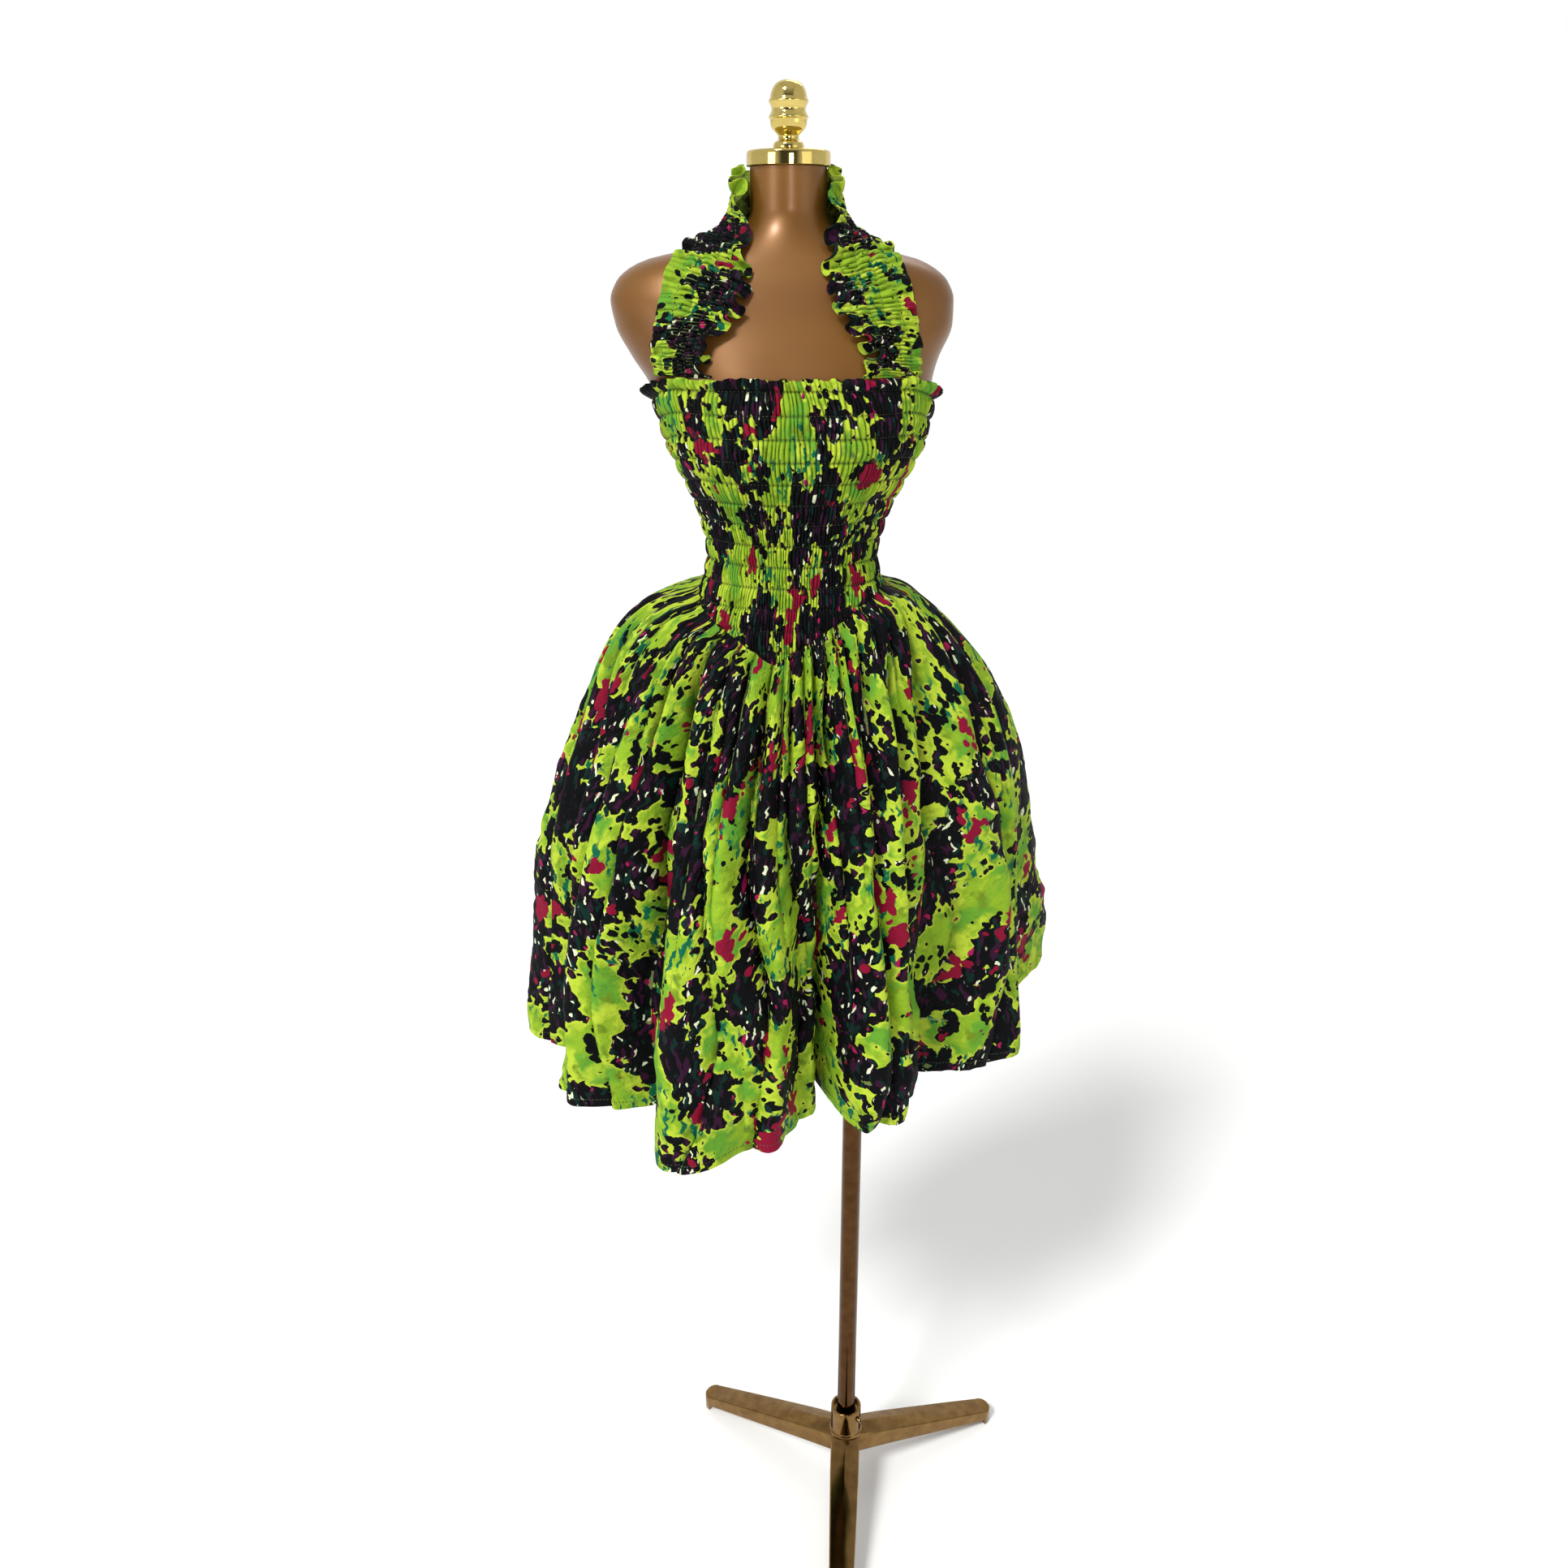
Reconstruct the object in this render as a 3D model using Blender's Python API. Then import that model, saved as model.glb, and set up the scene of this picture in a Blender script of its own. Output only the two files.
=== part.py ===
# Halter neck dress with a shirred bodice, worn by a limbless dress form on a pole stand.
# Metres, +Z up. The front of the dress faces -Y. The form's own axis is at X = 0, Y = 0 of the
# parent empty, which is placed so that the origin is on the floor under the middle of the
# whole part's box.

import math

import bmesh
import bpy
from mathutils import Vector
from mathutils.bvhtree import BVHTree

for old in list(bpy.data.objects):
    bpy.data.objects.remove(old, do_unlink=True)

# Where the middle of the part's box lies from the form's axis
MIDDLE_X = 0.0030
MIDDLE_Y = 0.0070

# Cloth
WALL = 0.0020
SEAM_GAP = 0.0004
SEAM_RADIUS_BODICE = 0.10
SEAM_RADIUS_SKIRT = 0.20
EASE = 0.0015

# Bodice: a frilled heading over rows of elastic thread, with puckers between the rows
TOP_FRONT = 1.5480
TOP_SIDE = 1.5300
TOP_BACK = 1.5190
HEADING = 0.0110
HEADING_FLARE_FRONT = 0.0020
HEADING_FLARE_SIDE = 0.0080
HEADING_FLARE_SPREAD = math.radians(30.0)
TOP_SLOPE_FROM = math.radians(54.0)
TOP_SLOPE_TO = math.radians(135.0)
ELASTIC_ROWS = 9
ELASTIC_ROWS_IN_V = 3
PUCKERS_A_PANEL = 20
PUCKER_HEIGHT = 0.0030
PUCKER_AT_ELASTIC = 0.0006
INNER_LEVELS = 9
INNER_LEVELS_IN_V = 3

# Waist seam: level at the sides and back, a rounded V in front
SEAM_SIDE = 1.3260
V_DROP = 0.0730
V_SHAPE = 1.3
V_ANGLE = math.radians(-12.0)
V_MARGIN = 0.0080
SIDE = math.radians(90.0)

# Skirt
SKIRT_COLUMNS = 56
SKIRT_LEVELS = 10
SKIRT_LEVEL_POWER = 1.7
FRONT_FLARE_SHARE = 0.85
FOLD_START = 0.02
FOLD_END = 1.15
FOLD_GAIN = 1.06
GATHERS = 30
GATHER_DEPTH = 0.0090
GATHER_SWAY = 0.9
GATHER_SWAYS = 5.0
GATHER_UNEVEN = 0.25
GATHER_UNEVEN_WAVES = 7.0
GATHER_LOSS = 0.75

# Straps
STRAP_STATIONS = 42
STRAP_ACROSS = 4
FRILL_DEPTH = 0.0055
FRILL_FROM = 0.30
STRAP_SHIFT = -0.0030
STRAP_LIFT = 0.0030
STRAP_CLEAR = 0.0022
STRAP_BASE = 1.5486

# Stand
POLE_X = 0.0825
POLE_RADIUS = 0.0125
POLE_CLEAR = 0.0003
POLE_BOTTOM = 0.0520
POLE_TOP = 1.2640
POLE_STEPS = 24
COLLAR_RADIUS = 0.0212
HUB_CUTTER_TOP = 0.2000
LEG_ANGLES = {"leg_left": 146.2, "leg_right": 26.2, "leg_front": -93.8}
SCREW_ANGLE = -38.0
SCREW_HEIGHT = 0.1190
SCREW_STEPS = 16
SCREW_OUTLINE = (
    # distance from the collar, radius
    (0.0000, 0.0040),
    (0.0036, 0.0040),
    (0.0045, 0.0030),
)

# Form
NECK_X = -0.0015
CAP_BOTTOM = 1.7430
CAP_TOP = 1.7580
CAP_RADIUS = 0.0420
FORM_STEPS = 32
FORM_LEVEL_GAP = 0.0350
SOCKET_RUN_OUT = 0.0200

# The form's level sections, from the neck down
FORM_SECTIONS = (
    # height, half width, front, back, squareness, bust, middle's x
    (1.7427, 0.0385, 0.0385, 0.0385, 2.0, 0.000, NECK_X),
    (1.7040, 0.0388, 0.0388, 0.0388, 2.0, 0.000, NECK_X),
    (1.6890, 0.0440, 0.0425, 0.0430, 2.0, 0.000, -0.0020),
    (1.6790, 0.0590, 0.0465, 0.0490, 2.0, 0.000, -0.0040),
    (1.6720, 0.0790, 0.0500, 0.0540, 2.0, 0.000, -0.0050),
    (1.6650, 0.1050, 0.0535, 0.0580, 2.1, 0.000, -0.0060),
    (1.6580, 0.1360, 0.0570, 0.0610, 2.2, 0.000, -0.0070),
    (1.6490, 0.1555, 0.0610, 0.0640, 2.3, 0.000, -0.0080),
    (1.6370, 0.1690, 0.0665, 0.0690, 2.35, 0.000, -0.0080),
    (1.6190, 0.1760, 0.0740, 0.0750, 2.4, 0.000, -0.0080),
    (1.5940, 0.1735, 0.0840, 0.0820, 2.4, 0.000, -0.0060),
    (1.5650, 0.1600, 0.0960, 0.0860, 2.35, 0.010, -0.0045),
    (1.5390, 0.1480, 0.1060, 0.0880, 2.3, 0.025, 0.0005),
    (1.5090, 0.1410, 0.1140, 0.0870, 2.2, 0.040, 0.0045),
    (1.4790, 0.1335, 0.1150, 0.0840, 2.1, 0.045, 0.0060),
    (1.4490, 0.1200, 0.1080, 0.0800, 2.1, 0.030, 0.0060),
    (1.4190, 0.1050, 0.0940, 0.0760, 2.0, 0.010, 0.0045),
    (1.3890, 0.0940, 0.0820, 0.0730, 2.0, 0.000, 0.0040),
    (1.3580, 0.0885, 0.0770, 0.0720, 2.0, 0.000, 0.0030),
    (1.3260, 0.0950, 0.0780, 0.0750, 2.0, 0.000, 0.0030),
    (1.2890, 0.1110, 0.0815, 0.0830, 2.0, 0.000, 0.0020),
    (1.2490, 0.1240, 0.0840, 0.0930, 2.1, 0.000, 0.0010),
    (1.2090, 0.1330, 0.0850, 0.1000, 2.2, 0.000, 0.0000),
    (1.1790, 0.1330, 0.0830, 0.1000, 2.3, 0.000, 0.0000),
    (1.1660, 0.1260, 0.0760, 0.0930, 2.3, 0.000, 0.0000),
    (1.1610, 0.1130, 0.0660, 0.0820, 2.3, 0.000, 0.0000),
)
BUST_ANGLE = math.radians(30.0)
BUST_SPREAD = math.radians(19.0)

# The skirt's bell, without its folds: the radius that it reaches at the hem
SKIRT_BELL = (
    # degrees from the front, radius at the hem
    (-140.0, 0.265),
    (-96.0, 0.302),
    (-60.0, 0.250),
    (-20.0, 0.208),
    (20.0, 0.178),
    (60.0, 0.205),
    (90.0, 0.275),
    (120.0, 0.325),
    (160.0, 0.262),
    (190.0, 0.252),
)

# The skirt's big folds at the hem: ridges and troughs in turn
HEM_FOLDS = (
    # degrees from the front, radius, height of the hem
    (-172.0, 0.275, 0.727),
    (-155.0, 0.205, 0.724),
    (-135.0, 0.290, 0.729),
    (-116.0, 0.228, 0.724),
    (-96.0, 0.340, 0.731),
    (-82.0, 0.235, 0.724),
    (-66.0, 0.290, 0.724),
    (-46.0, 0.165, 0.722),
    (-28.0, 0.291, 0.722),
    (-14.0, 0.215, 0.722),
    (-6.0, 0.207, 0.722),
    (11.0, 0.064, 0.734),
    (24.0, 0.195, 0.722),
    (34.0, 0.204, 0.722),
    (52.0, 0.176, 0.724),
    (70.0, 0.150, 0.726),
    (88.0, 0.300, 0.727),
    (102.0, 0.240, 0.734),
    (118.0, 0.388, 0.754),
    (137.0, 0.240, 0.734),
    (154.0, 0.295, 0.727),
    (171.0, 0.205, 0.724),
)

# How fast the bell opens, at the sides and in front
FLARE_SIDE = (
    # share of the drop, share of the opening at the left, at the right
    (0.000, 0.000, 0.000),
    (0.021, 0.190, 0.150),
    (0.068, 0.420, 0.350),
    (0.135, 0.560, 0.540),
    (0.260, 0.700, 0.750),
    (0.460, 0.890, 0.910),
    (0.640, 0.950, 0.955),
    (1.000, 1.000, 1.000),
)
FLARE_FRONT = (
    # share of the drop, share of the opening
    (0.00, 0.00),
    (0.04, 0.13),
    (0.14, 0.31),
    (0.30, 0.52),
    (0.50, 0.71),
    (0.75, 0.88),
    (1.00, 1.00),
)

# The right strap's two long edges, from the bodice to the centre back of the neck
STRAP_EDGES = (
    # outer edge x, y, z, inner edge x, y, z
    (0.1340, -0.0620, STRAP_BASE, 0.0740, -0.0980, STRAP_BASE),
    (0.1310, -0.0620, 1.5770, 0.0800, -0.0970, 1.5770),
    (0.1250, -0.0560, 1.6090, 0.0520, -0.0920, 1.6070),
    (0.1130, -0.0380, 1.6560, 0.0400, -0.0760, 1.6390),
    (0.0940, -0.0100, 1.6810, 0.0430, -0.0490, 1.6850),
    (0.0740, 0.0280, 1.6780, 0.0510, -0.0110, 1.7380),
    (0.0430, 0.0570, 1.6780, 0.0400, 0.0350, 1.7450),
    (0.0003, 0.0650, 1.6780, 0.0003, 0.0550, 1.7450),
)

# The finial's turned outline
FINIAL_OUTLINE = (
    # radius, height
    (0.0145, 1.7583),
    (0.0152, 1.7610),
    (0.0140, 1.7650),
    (0.0108, 1.7678),
    (0.0112, 1.7710),
    (0.0165, 1.7750),
    (0.0186, 1.7810),
    (0.0196, 1.7875),
    (0.0188, 1.7898),
    (0.0168, 1.7925),
    (0.0168, 1.7955),
    (0.0190, 1.7998),
    (0.0196, 1.8025),
    (0.0183, 1.8068),
    (0.0160, 1.8125),
    (0.0118, 1.8176),
    (0.0062, 1.8203),
)
FINIAL_TIP = 1.8210
FINIAL_STEPS = 16

CAP_OUTLINE = (
    # radius, height
    (0.0400, CAP_BOTTOM),
    (CAP_RADIUS, CAP_BOTTOM + 0.0015),
    (CAP_RADIUS, CAP_TOP - 0.0040),
    (0.0408, CAP_TOP - 0.0012),
    (0.0380, CAP_TOP),
)
CAP_STEPS = 24

# The hub: a collar over a flange, with the legs let in below it
HUB_RADIUS = 0.0205
HUB_OUTLINE = (
    # radius, height
    (POLE_RADIUS + POLE_CLEAR, 0.0500),
    (0.0190, 0.0500),
    (HUB_RADIUS, 0.0530),
    (HUB_RADIUS, 0.0880),
    (0.0235, 0.0888),
    (0.0235, 0.0940),
    (COLLAR_RADIUS, 0.0960),
    (COLLAR_RADIUS, 0.1325),
    (0.0196, 0.1340),
    (POLE_RADIUS + POLE_CLEAR, 0.1340),
)
HUB_STEPS = 20

# A leg's upright sections, from the hub to its tip
LEG_SECTIONS = (
    # distance from the pole's axis, width, top, underside
    (0.0130, 0.0410, 0.0880, 0.0590),
    (0.0600, 0.0400, 0.0765, 0.0495),
    (0.1200, 0.0370, 0.0590, 0.0355),
    (0.1800, 0.0335, 0.0415, 0.0215),
    (0.2340, 0.0300, 0.0255, 0.0085),
    (0.2350, 0.0298, 0.0252, 0.0000),
    (0.2420, 0.0265, 0.0235, 0.0000),
    (0.2465, 0.0190, 0.0225, 0.0000),
    (0.2490, 0.0100, 0.0215, 0.0020),
)

# A leg's section, as shares of its width and height, with a rounded top
LEG_SECTION_SHAPE = (
    (-0.46, 0.00),
    (0.46, 0.00),
    (0.50, 0.08),
    (0.50, 0.88),
    (0.45, 0.97),
    (0.00, 1.00),
    (-0.45, 0.97),
    (-0.50, 0.88),
    (-0.50, 0.08),
)


def material(name, colour, roughness, metallic):
    made = bpy.data.materials.new(name)
    made.use_nodes = True
    shader = made.node_tree.nodes["Principled BSDF"]
    shader.inputs["Base Color"].default_value = (*colour, 1.0)
    shader.inputs["Roughness"].default_value = roughness
    shader.inputs["Metallic"].default_value = metallic
    return made


CLOTH_BODICE = ("printed_cotton_bodice", (0.21, 0.40, 0.04), 0.70, 0.0)
CLOTH_STRAP = ("printed_cotton_strap", (0.20, 0.38, 0.05), 0.70, 0.0)
CLOTH_SKIRT = ("printed_cotton_skirt", (0.23, 0.43, 0.04), 0.68, 0.0)
FORM_PLASTIC = ("bronze_plastic", (0.32, 0.13, 0.035), 0.38, 0.0)
GOLD_PLATE = ("gold_plate", (0.83, 0.62, 0.20), 0.12, 1.0)
BRONZE_PLATE = ("bronze_plate", (0.42, 0.26, 0.10), 0.22, 1.0)

root = bpy.data.objects.new("dress_and_stand", None)
bpy.context.scene.collection.objects.link(root)
root.location = (-MIDDLE_X, -MIDDLE_Y, 0.0)


def add_object(name, shape, finish):
    """Turn a bmesh into a named child of the root, with its own material."""
    bmesh.ops.recalc_face_normals(shape, faces=shape.faces)
    mesh = bpy.data.meshes.new(name)
    shape.to_mesh(mesh)
    shape.free()
    mesh.shade_smooth()
    mesh.set_sharp_from_angle(angle=math.radians(40.0))
    made = bpy.data.objects.new(name, mesh)
    mesh.materials.append(material(name + "_" + finish[0], *finish[1:]))
    bpy.context.scene.collection.objects.link(made)
    made.parent = root
    return made


def slope_at(rows, index, column):
    """A slope at a row that never overshoots its neighbours."""
    if index in (0, len(rows) - 1):
        return 0.0
    before, here, after = rows[index - 1], rows[index], rows[index + 1]
    left = (here[column] - before[column]) / (here[0] - before[0])
    right = (after[column] - here[column]) / (after[0] - here[0])
    if left * right <= 0.0:
        return 0.0
    return 2.0 * left * right / (left + right)


def read_table(rows, place, column):
    """Read a column smoothly between rows, whose first column runs one way."""
    low, high = sorted((rows[0][0], rows[-1][0]))
    place = min(max(place, low), high)
    for index in range(len(rows) - 1):
        start, end = rows[index], rows[index + 1]
        if min(start[0], end[0]) <= place <= max(start[0], end[0]):
            break
    width = end[0] - start[0]
    share = (place - start[0]) / width
    start_slope = slope_at(rows, index, column) * width
    end_slope = slope_at(rows, index + 1, column) * width
    square, cube = share * share, share * share * share
    return (
        (2.0 * cube - 3.0 * square + 1.0) * start[column]
        + (cube - 2.0 * square + share) * start_slope
        + (3.0 * square - 2.0 * cube) * end[column]
        + (cube - square) * end_slope
    )


def read_around(rows, angle, column):
    """Read a column of a table of degrees round the axis, easing between rows."""
    degrees = math.degrees(angle)
    while degrees < rows[0][0]:
        degrees += 360.0
    while degrees >= rows[0][0] + 360.0:
        degrees -= 360.0
    turned = rows + ((rows[0][0] + 360.0, *rows[0][1:]),)
    for start, end in zip(turned, turned[1:]):
        if degrees <= end[0]:
            break
    share = (degrees - start[0]) / (end[0] - start[0])
    eased = 0.5 - 0.5 * math.cos(math.pi * share)
    return start[column] + (end[column] - start[column]) * eased


def ease(low, high, value):
    share = min(max((value - low) / (high - low), 0.0), 1.0)
    return share * share * (3.0 - 2.0 * share)


def at(angle, radius, height):
    """A point round the middle of the form's section, with its angle from the front, towards +X."""
    middle = read_table(FORM_SECTIONS, height, 6)
    return Vector((middle + radius * math.sin(angle), -radius * math.cos(angle), height))


def wrapped(angle):
    return math.remainder(angle, math.tau)


def form_radius(height, angle):
    half_width = read_table(FORM_SECTIONS, height, 1)
    depth = read_table(FORM_SECTIONS, height, 2 if math.cos(angle) > 0.0 else 3)
    square = read_table(FORM_SECTIONS, height, 4)
    bust = read_table(FORM_SECTIONS, height, 5)
    across = abs(math.sin(angle)) / half_width
    along = abs(math.cos(angle)) / depth
    radius = (across**square + along**square) ** (-1.0 / square)
    beside = (abs(wrapped(angle)) - BUST_ANGLE) / BUST_SPREAD
    return radius * (1.0 + bust * math.exp(-beside * beside))


def grid_faces(shape, grid):
    for upper, lower in zip(grid, grid[1:]):
        for index in range(len(upper) - 1):
            shape.faces.new((upper[index], upper[index + 1], lower[index + 1], lower[index]))


def zip_edges(shape, first, second):
    """Close the strip between two rows of points that start and end side by side."""
    here, there = 0, 0
    while here < len(first) - 1 or there < len(second) - 1:
        step_first = (here + 1) / (len(first) - 1) if here < len(first) - 1 else 2.0
        step_second = (there + 1) / (len(second) - 1) if there < len(second) - 1 else 2.0
        if step_first <= step_second:
            shape.faces.new((first[here], first[here + 1], second[there]))
            here += 1
        else:
            shape.faces.new((first[here], second[there + 1], second[there]))
            there += 1


def borders(grid):
    left = [row[0] for row in grid]
    right = [row[-1] for row in grid]
    return grid[0], right, grid[-1], left


def add_wall(name, outer, inner, finish):
    """A cloth panel as a wall between an outer and an inner grid of points."""
    shape = bmesh.new()
    outside = [[shape.verts.new(point) for point in row] for row in outer]
    inside = [[shape.verts.new(point) for point in row] for row in inner]
    grid_faces(shape, outside)
    grid_faces(shape, inside)
    for outer_edge, inner_edge in zip(borders(outside), borders(inside)):
        zip_edges(shape, outer_edge, inner_edge)
    return add_object(name, shape, finish)


def add_turned(name, outline, steps, finish, centre=(0.0, 0.0), tube=False, tip=None):
    """A turned piece from its outline, closed by flat ends, by a tip, or as a tube."""
    shape = bmesh.new()
    rings = []
    for radius, height in outline:
        ring = []
        for step in range(steps):
            angle = math.tau * step / steps
            x = centre[0] + radius * math.cos(angle)
            y = centre[1] + radius * math.sin(angle)
            ring.append(shape.verts.new((x, y, height)))
        rings.append(ring)
    pairs = list(zip(rings, rings[1:]))
    if tube:
        pairs.append((rings[-1], rings[0]))
    else:
        shape.faces.new(rings[0])
    for lower, upper in pairs:
        for step in range(steps):
            after = (step + 1) % steps
            shape.faces.new((lower[step], lower[after], upper[after], upper[step]))
    if tip is not None:
        point = shape.verts.new((centre[0], centre[1], tip))
        for step in range(steps):
            shape.faces.new((rings[-1][step], rings[-1][(step + 1) % steps], point))
    elif not tube:
        shape.faces.new(rings[-1])
    return add_object(name, shape, finish)


# Torso, with a blind socket for the top of the pole


def form_levels():
    """The table's own heights, and one between each two that lie far apart."""
    levels = []
    for upper, lower in zip(FORM_SECTIONS, FORM_SECTIONS[1:]):
        levels.append(upper[0])
        if upper[0] - lower[0] > FORM_LEVEL_GAP:
            levels.append((upper[0] + lower[0]) / 2.0)
    levels.append(FORM_SECTIONS[-1][0])
    return levels


def build_torso():
    shape = bmesh.new()
    rings = []
    for height in form_levels():
        half_width = read_table(FORM_SECTIONS, height, 1)
        depth = read_table(FORM_SECTIONS, height, 2)
        ring = []
        for step in range(FORM_STEPS):
            turn = math.tau * step / FORM_STEPS
            angle = math.atan2(half_width * math.sin(turn), depth * math.cos(turn))
            ring.append(shape.verts.new(at(angle, form_radius(height, angle), height)))
        rings.append(ring)
    for upper, lower in zip(rings, rings[1:]):
        for step in range(FORM_STEPS):
            after = (step + 1) % FORM_STEPS
            shape.faces.new((upper[step], upper[after], lower[after], lower[step]))
    shape.faces.new(rings[0])
    shape.faces.new(rings[-1])
    return add_object("torso", shape, FORM_PLASTIC)


torso = build_torso()
torso_tree = BVHTree.FromPolygons(
    [vertex.co.copy() for vertex in torso.data.vertices],
    [tuple(face.vertices) for face in torso.data.polygons],
)

socket_bottom = FORM_SECTIONS[-1][0] - SOCKET_RUN_OUT
socket = add_turned(
    "socket_cutter",
    ((POLE_RADIUS + POLE_CLEAR, socket_bottom), (POLE_RADIUS + POLE_CLEAR, POLE_TOP + POLE_CLEAR)),
    POLE_STEPS,
    FORM_PLASTIC,
    centre=(POLE_X, 0.0),
)
socket.hide_render = True
socket.display_type = "WIRE"
cut = torso.modifiers.new("socket", "BOOLEAN")
cut.operation = "DIFFERENCE"
cut.solver = "EXACT"
cut.object = socket


# Bodice


def top_height(angle):
    turn = abs(wrapped(angle))
    to_side = ease(TOP_SLOPE_FROM, SIDE, turn)
    to_back = ease(SIDE, TOP_SLOPE_TO, turn)
    return TOP_FRONT + (TOP_SIDE - TOP_FRONT) * to_side + (TOP_BACK - TOP_SIDE) * to_back


def seam_height(angle):
    from_point = abs(wrapped(angle - V_ANGLE)) / SIDE
    return SEAM_SIDE - V_DROP * max(0.0, 1.0 - from_point) ** V_SHAPE


def heading_flare(angle, height):
    """How far the frilled heading leans out, from nothing at the first elastic row."""
    turn = abs(wrapped(angle))
    beside = math.exp(-(((turn - SIDE) / HEADING_FLARE_SPREAD) ** 2))
    full = HEADING_FLARE_FRONT + (HEADING_FLARE_SIDE - HEADING_FLARE_FRONT) * beside
    return full * max(0.0, 1.0 - (top_height(angle) - height) / HEADING)


def bodice_height(angle, level):
    """The height at a level: -1 the top edge, 0 to 1 the level rows, 1 to 2 the V below them."""
    first_row = top_height(angle) - HEADING
    last_row = SEAM_SIDE + V_MARGIN
    if level < 0.0:
        return first_row - HEADING * level
    if level <= 1.0:
        return first_row + (last_row - first_row) * level
    return last_row + (seam_height(angle) + SEAM_GAP / 2.0 - last_row) * (level - 1.0)


def bodice_levels(rows, rows_in_v):
    above = [step / rows for step in range(rows + 1)]
    return [-1.0] + above + [1.0 + step / rows_in_v for step in range(1, rows_in_v + 1)]


def build_bodice(name, start, end):
    inset = SEAM_GAP / 2.0 / SEAM_RADIUS_BODICE
    columns = PUCKERS_A_PANEL * 2
    outer = []
    for index, level in enumerate(bodice_levels(ELASTIC_ROWS * 2, ELASTIC_ROWS_IN_V * 2)):
        row = []
        for column in range(columns + 1):
            angle = start + inset + (end - start - 2.0 * inset) * column / columns
            height = bodice_height(angle, level)
            raised = PUCKER_HEIGHT if index % 2 == 0 else PUCKER_AT_ELASTIC
            pucker = raised if column % 2 == 1 else 0.0
            radius = form_radius(height, angle) + EASE + WALL + pucker
            row.append(at(angle, radius + heading_flare(angle, height), height))
        outer.append(row)
    inner = []
    for level in bodice_levels(INNER_LEVELS, INNER_LEVELS_IN_V):
        row = []
        for column in range(PUCKERS_A_PANEL + 1):
            angle = start + inset + (end - start - 2.0 * inset) * column / PUCKERS_A_PANEL
            height = bodice_height(angle, level)
            radius = form_radius(height, angle) + EASE
            row.append(at(angle, radius + heading_flare(angle, height), height))
        inner.append(row)
    add_wall(name, outer, inner, CLOTH_BODICE)


build_bodice("bodice_front", -SIDE, SIDE)
build_bodice("bodice_back", SIDE, 3.0 * SIDE)


# Skirt


def flare_share(angle, drop):
    front = FRONT_FLARE_SHARE * max(0.0, math.cos(angle)) ** 2
    in_front = read_table(FLARE_FRONT, drop, 1)
    at_side = read_table(FLARE_SIDE, drop, 1 if math.sin(angle) < 0.0 else 2)
    return at_side + (in_front - at_side) * front


def gather_height(angle, drop):
    """Soft gathers that start at the seam, are deepest below it and fade to the hem."""
    wave = 0.5 + 0.5 * math.sin(GATHERS * angle + GATHER_SWAY * math.sin(GATHER_SWAYS * angle))
    uneven = 1.0 - GATHER_UNEVEN + GATHER_UNEVEN * math.sin(GATHER_UNEVEN_WAVES * angle + 1.0)
    growth = ease(0.0, 0.10, drop) * (1.0 - GATHER_LOSS * ease(0.25, 0.9, drop))
    return GATHER_DEPTH * wave * uneven * growth


def skirt_point(angle, drop):
    seam = seam_height(angle) - SEAM_GAP / 2.0
    hem = read_around(HEM_FOLDS, angle, 2)
    waist = form_radius(seam, angle) + EASE + WALL
    bell = read_around(SKIRT_BELL, angle, 1)
    fold = read_around(HEM_FOLDS, angle, 1) - bell
    radius = waist + (bell - waist) * flare_share(angle, drop)
    radius += fold * FOLD_GAIN * ease(FOLD_START, FOLD_END, drop) + gather_height(angle, drop)
    return at(angle, radius, seam + (hem - seam) * drop)


def outward(point_of, angle, drop):
    """The unit normal of a surface given by angle and drop, pointing away from the axis."""
    turn, fall = 0.004, 0.002
    around = point_of(angle + turn, drop) - point_of(angle - turn, drop)
    down = point_of(angle, min(drop + fall, 1.0)) - point_of(angle, max(drop - fall, 0.0))
    return down.cross(around).normalized()


def build_skirt(name, start, end):
    inset = SEAM_GAP / 2.0 / SEAM_RADIUS_SKIRT
    outer, inner = [], []
    for level in range(SKIRT_LEVELS + 1):
        drop = (level / SKIRT_LEVELS) ** SKIRT_LEVEL_POWER
        outer_row, inner_row = [], []
        for column in range(SKIRT_COLUMNS + 1):
            angle = start + inset + (end - start - 2.0 * inset) * column / SKIRT_COLUMNS
            point = skirt_point(angle, drop)
            normal = outward(skirt_point, angle, drop)
            outer_row.append(point)
            inner_row.append(point - normal * WALL)
        outer.append(outer_row)
        inner.append(inner_row)
    add_wall(name, outer, inner, CLOTH_SKIRT)


build_skirt("skirt_front", -SIDE, SIDE)
build_skirt("skirt_back", SIDE, 3.0 * SIDE)


# Halter straps


def strap_edge(share, first):
    """A point on one long edge, on a smooth curve through the table's points."""
    rows = [tuple(row[first : first + 3]) for row in STRAP_EDGES]
    place = share * (len(rows) - 1)
    index = min(int(place), len(rows) - 2)
    part = place - index
    points = [
        Vector(rows[max(index - 1, 0)]),
        Vector(rows[index]),
        Vector(rows[index + 1]),
        Vector(rows[min(index + 2, len(rows) - 1)]),
    ]
    leave = (points[2] - points[0]) / 2.0
    arrive = (points[3] - points[1]) / 2.0
    square, cube = part * part, part**3
    return (
        points[1] * (2.0 * cube - 3.0 * square + 1.0)
        + leave * (cube - 2.0 * square + part)
        + points[2] * (3.0 * square - 2.0 * cube)
        + arrive * (cube - square)
    )


def clear_of_form(point, least):
    """Move a point out until it lies at least this far from the torso's skin."""
    for _ in range(3):
        spot, normal, _, distance = torso_tree.find_nearest(point)
        side = (point - spot).dot(normal)
        if side > 0.0 and distance >= least:
            return point
        point = spot + normal * (least + 0.0001)
    return point


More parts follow.
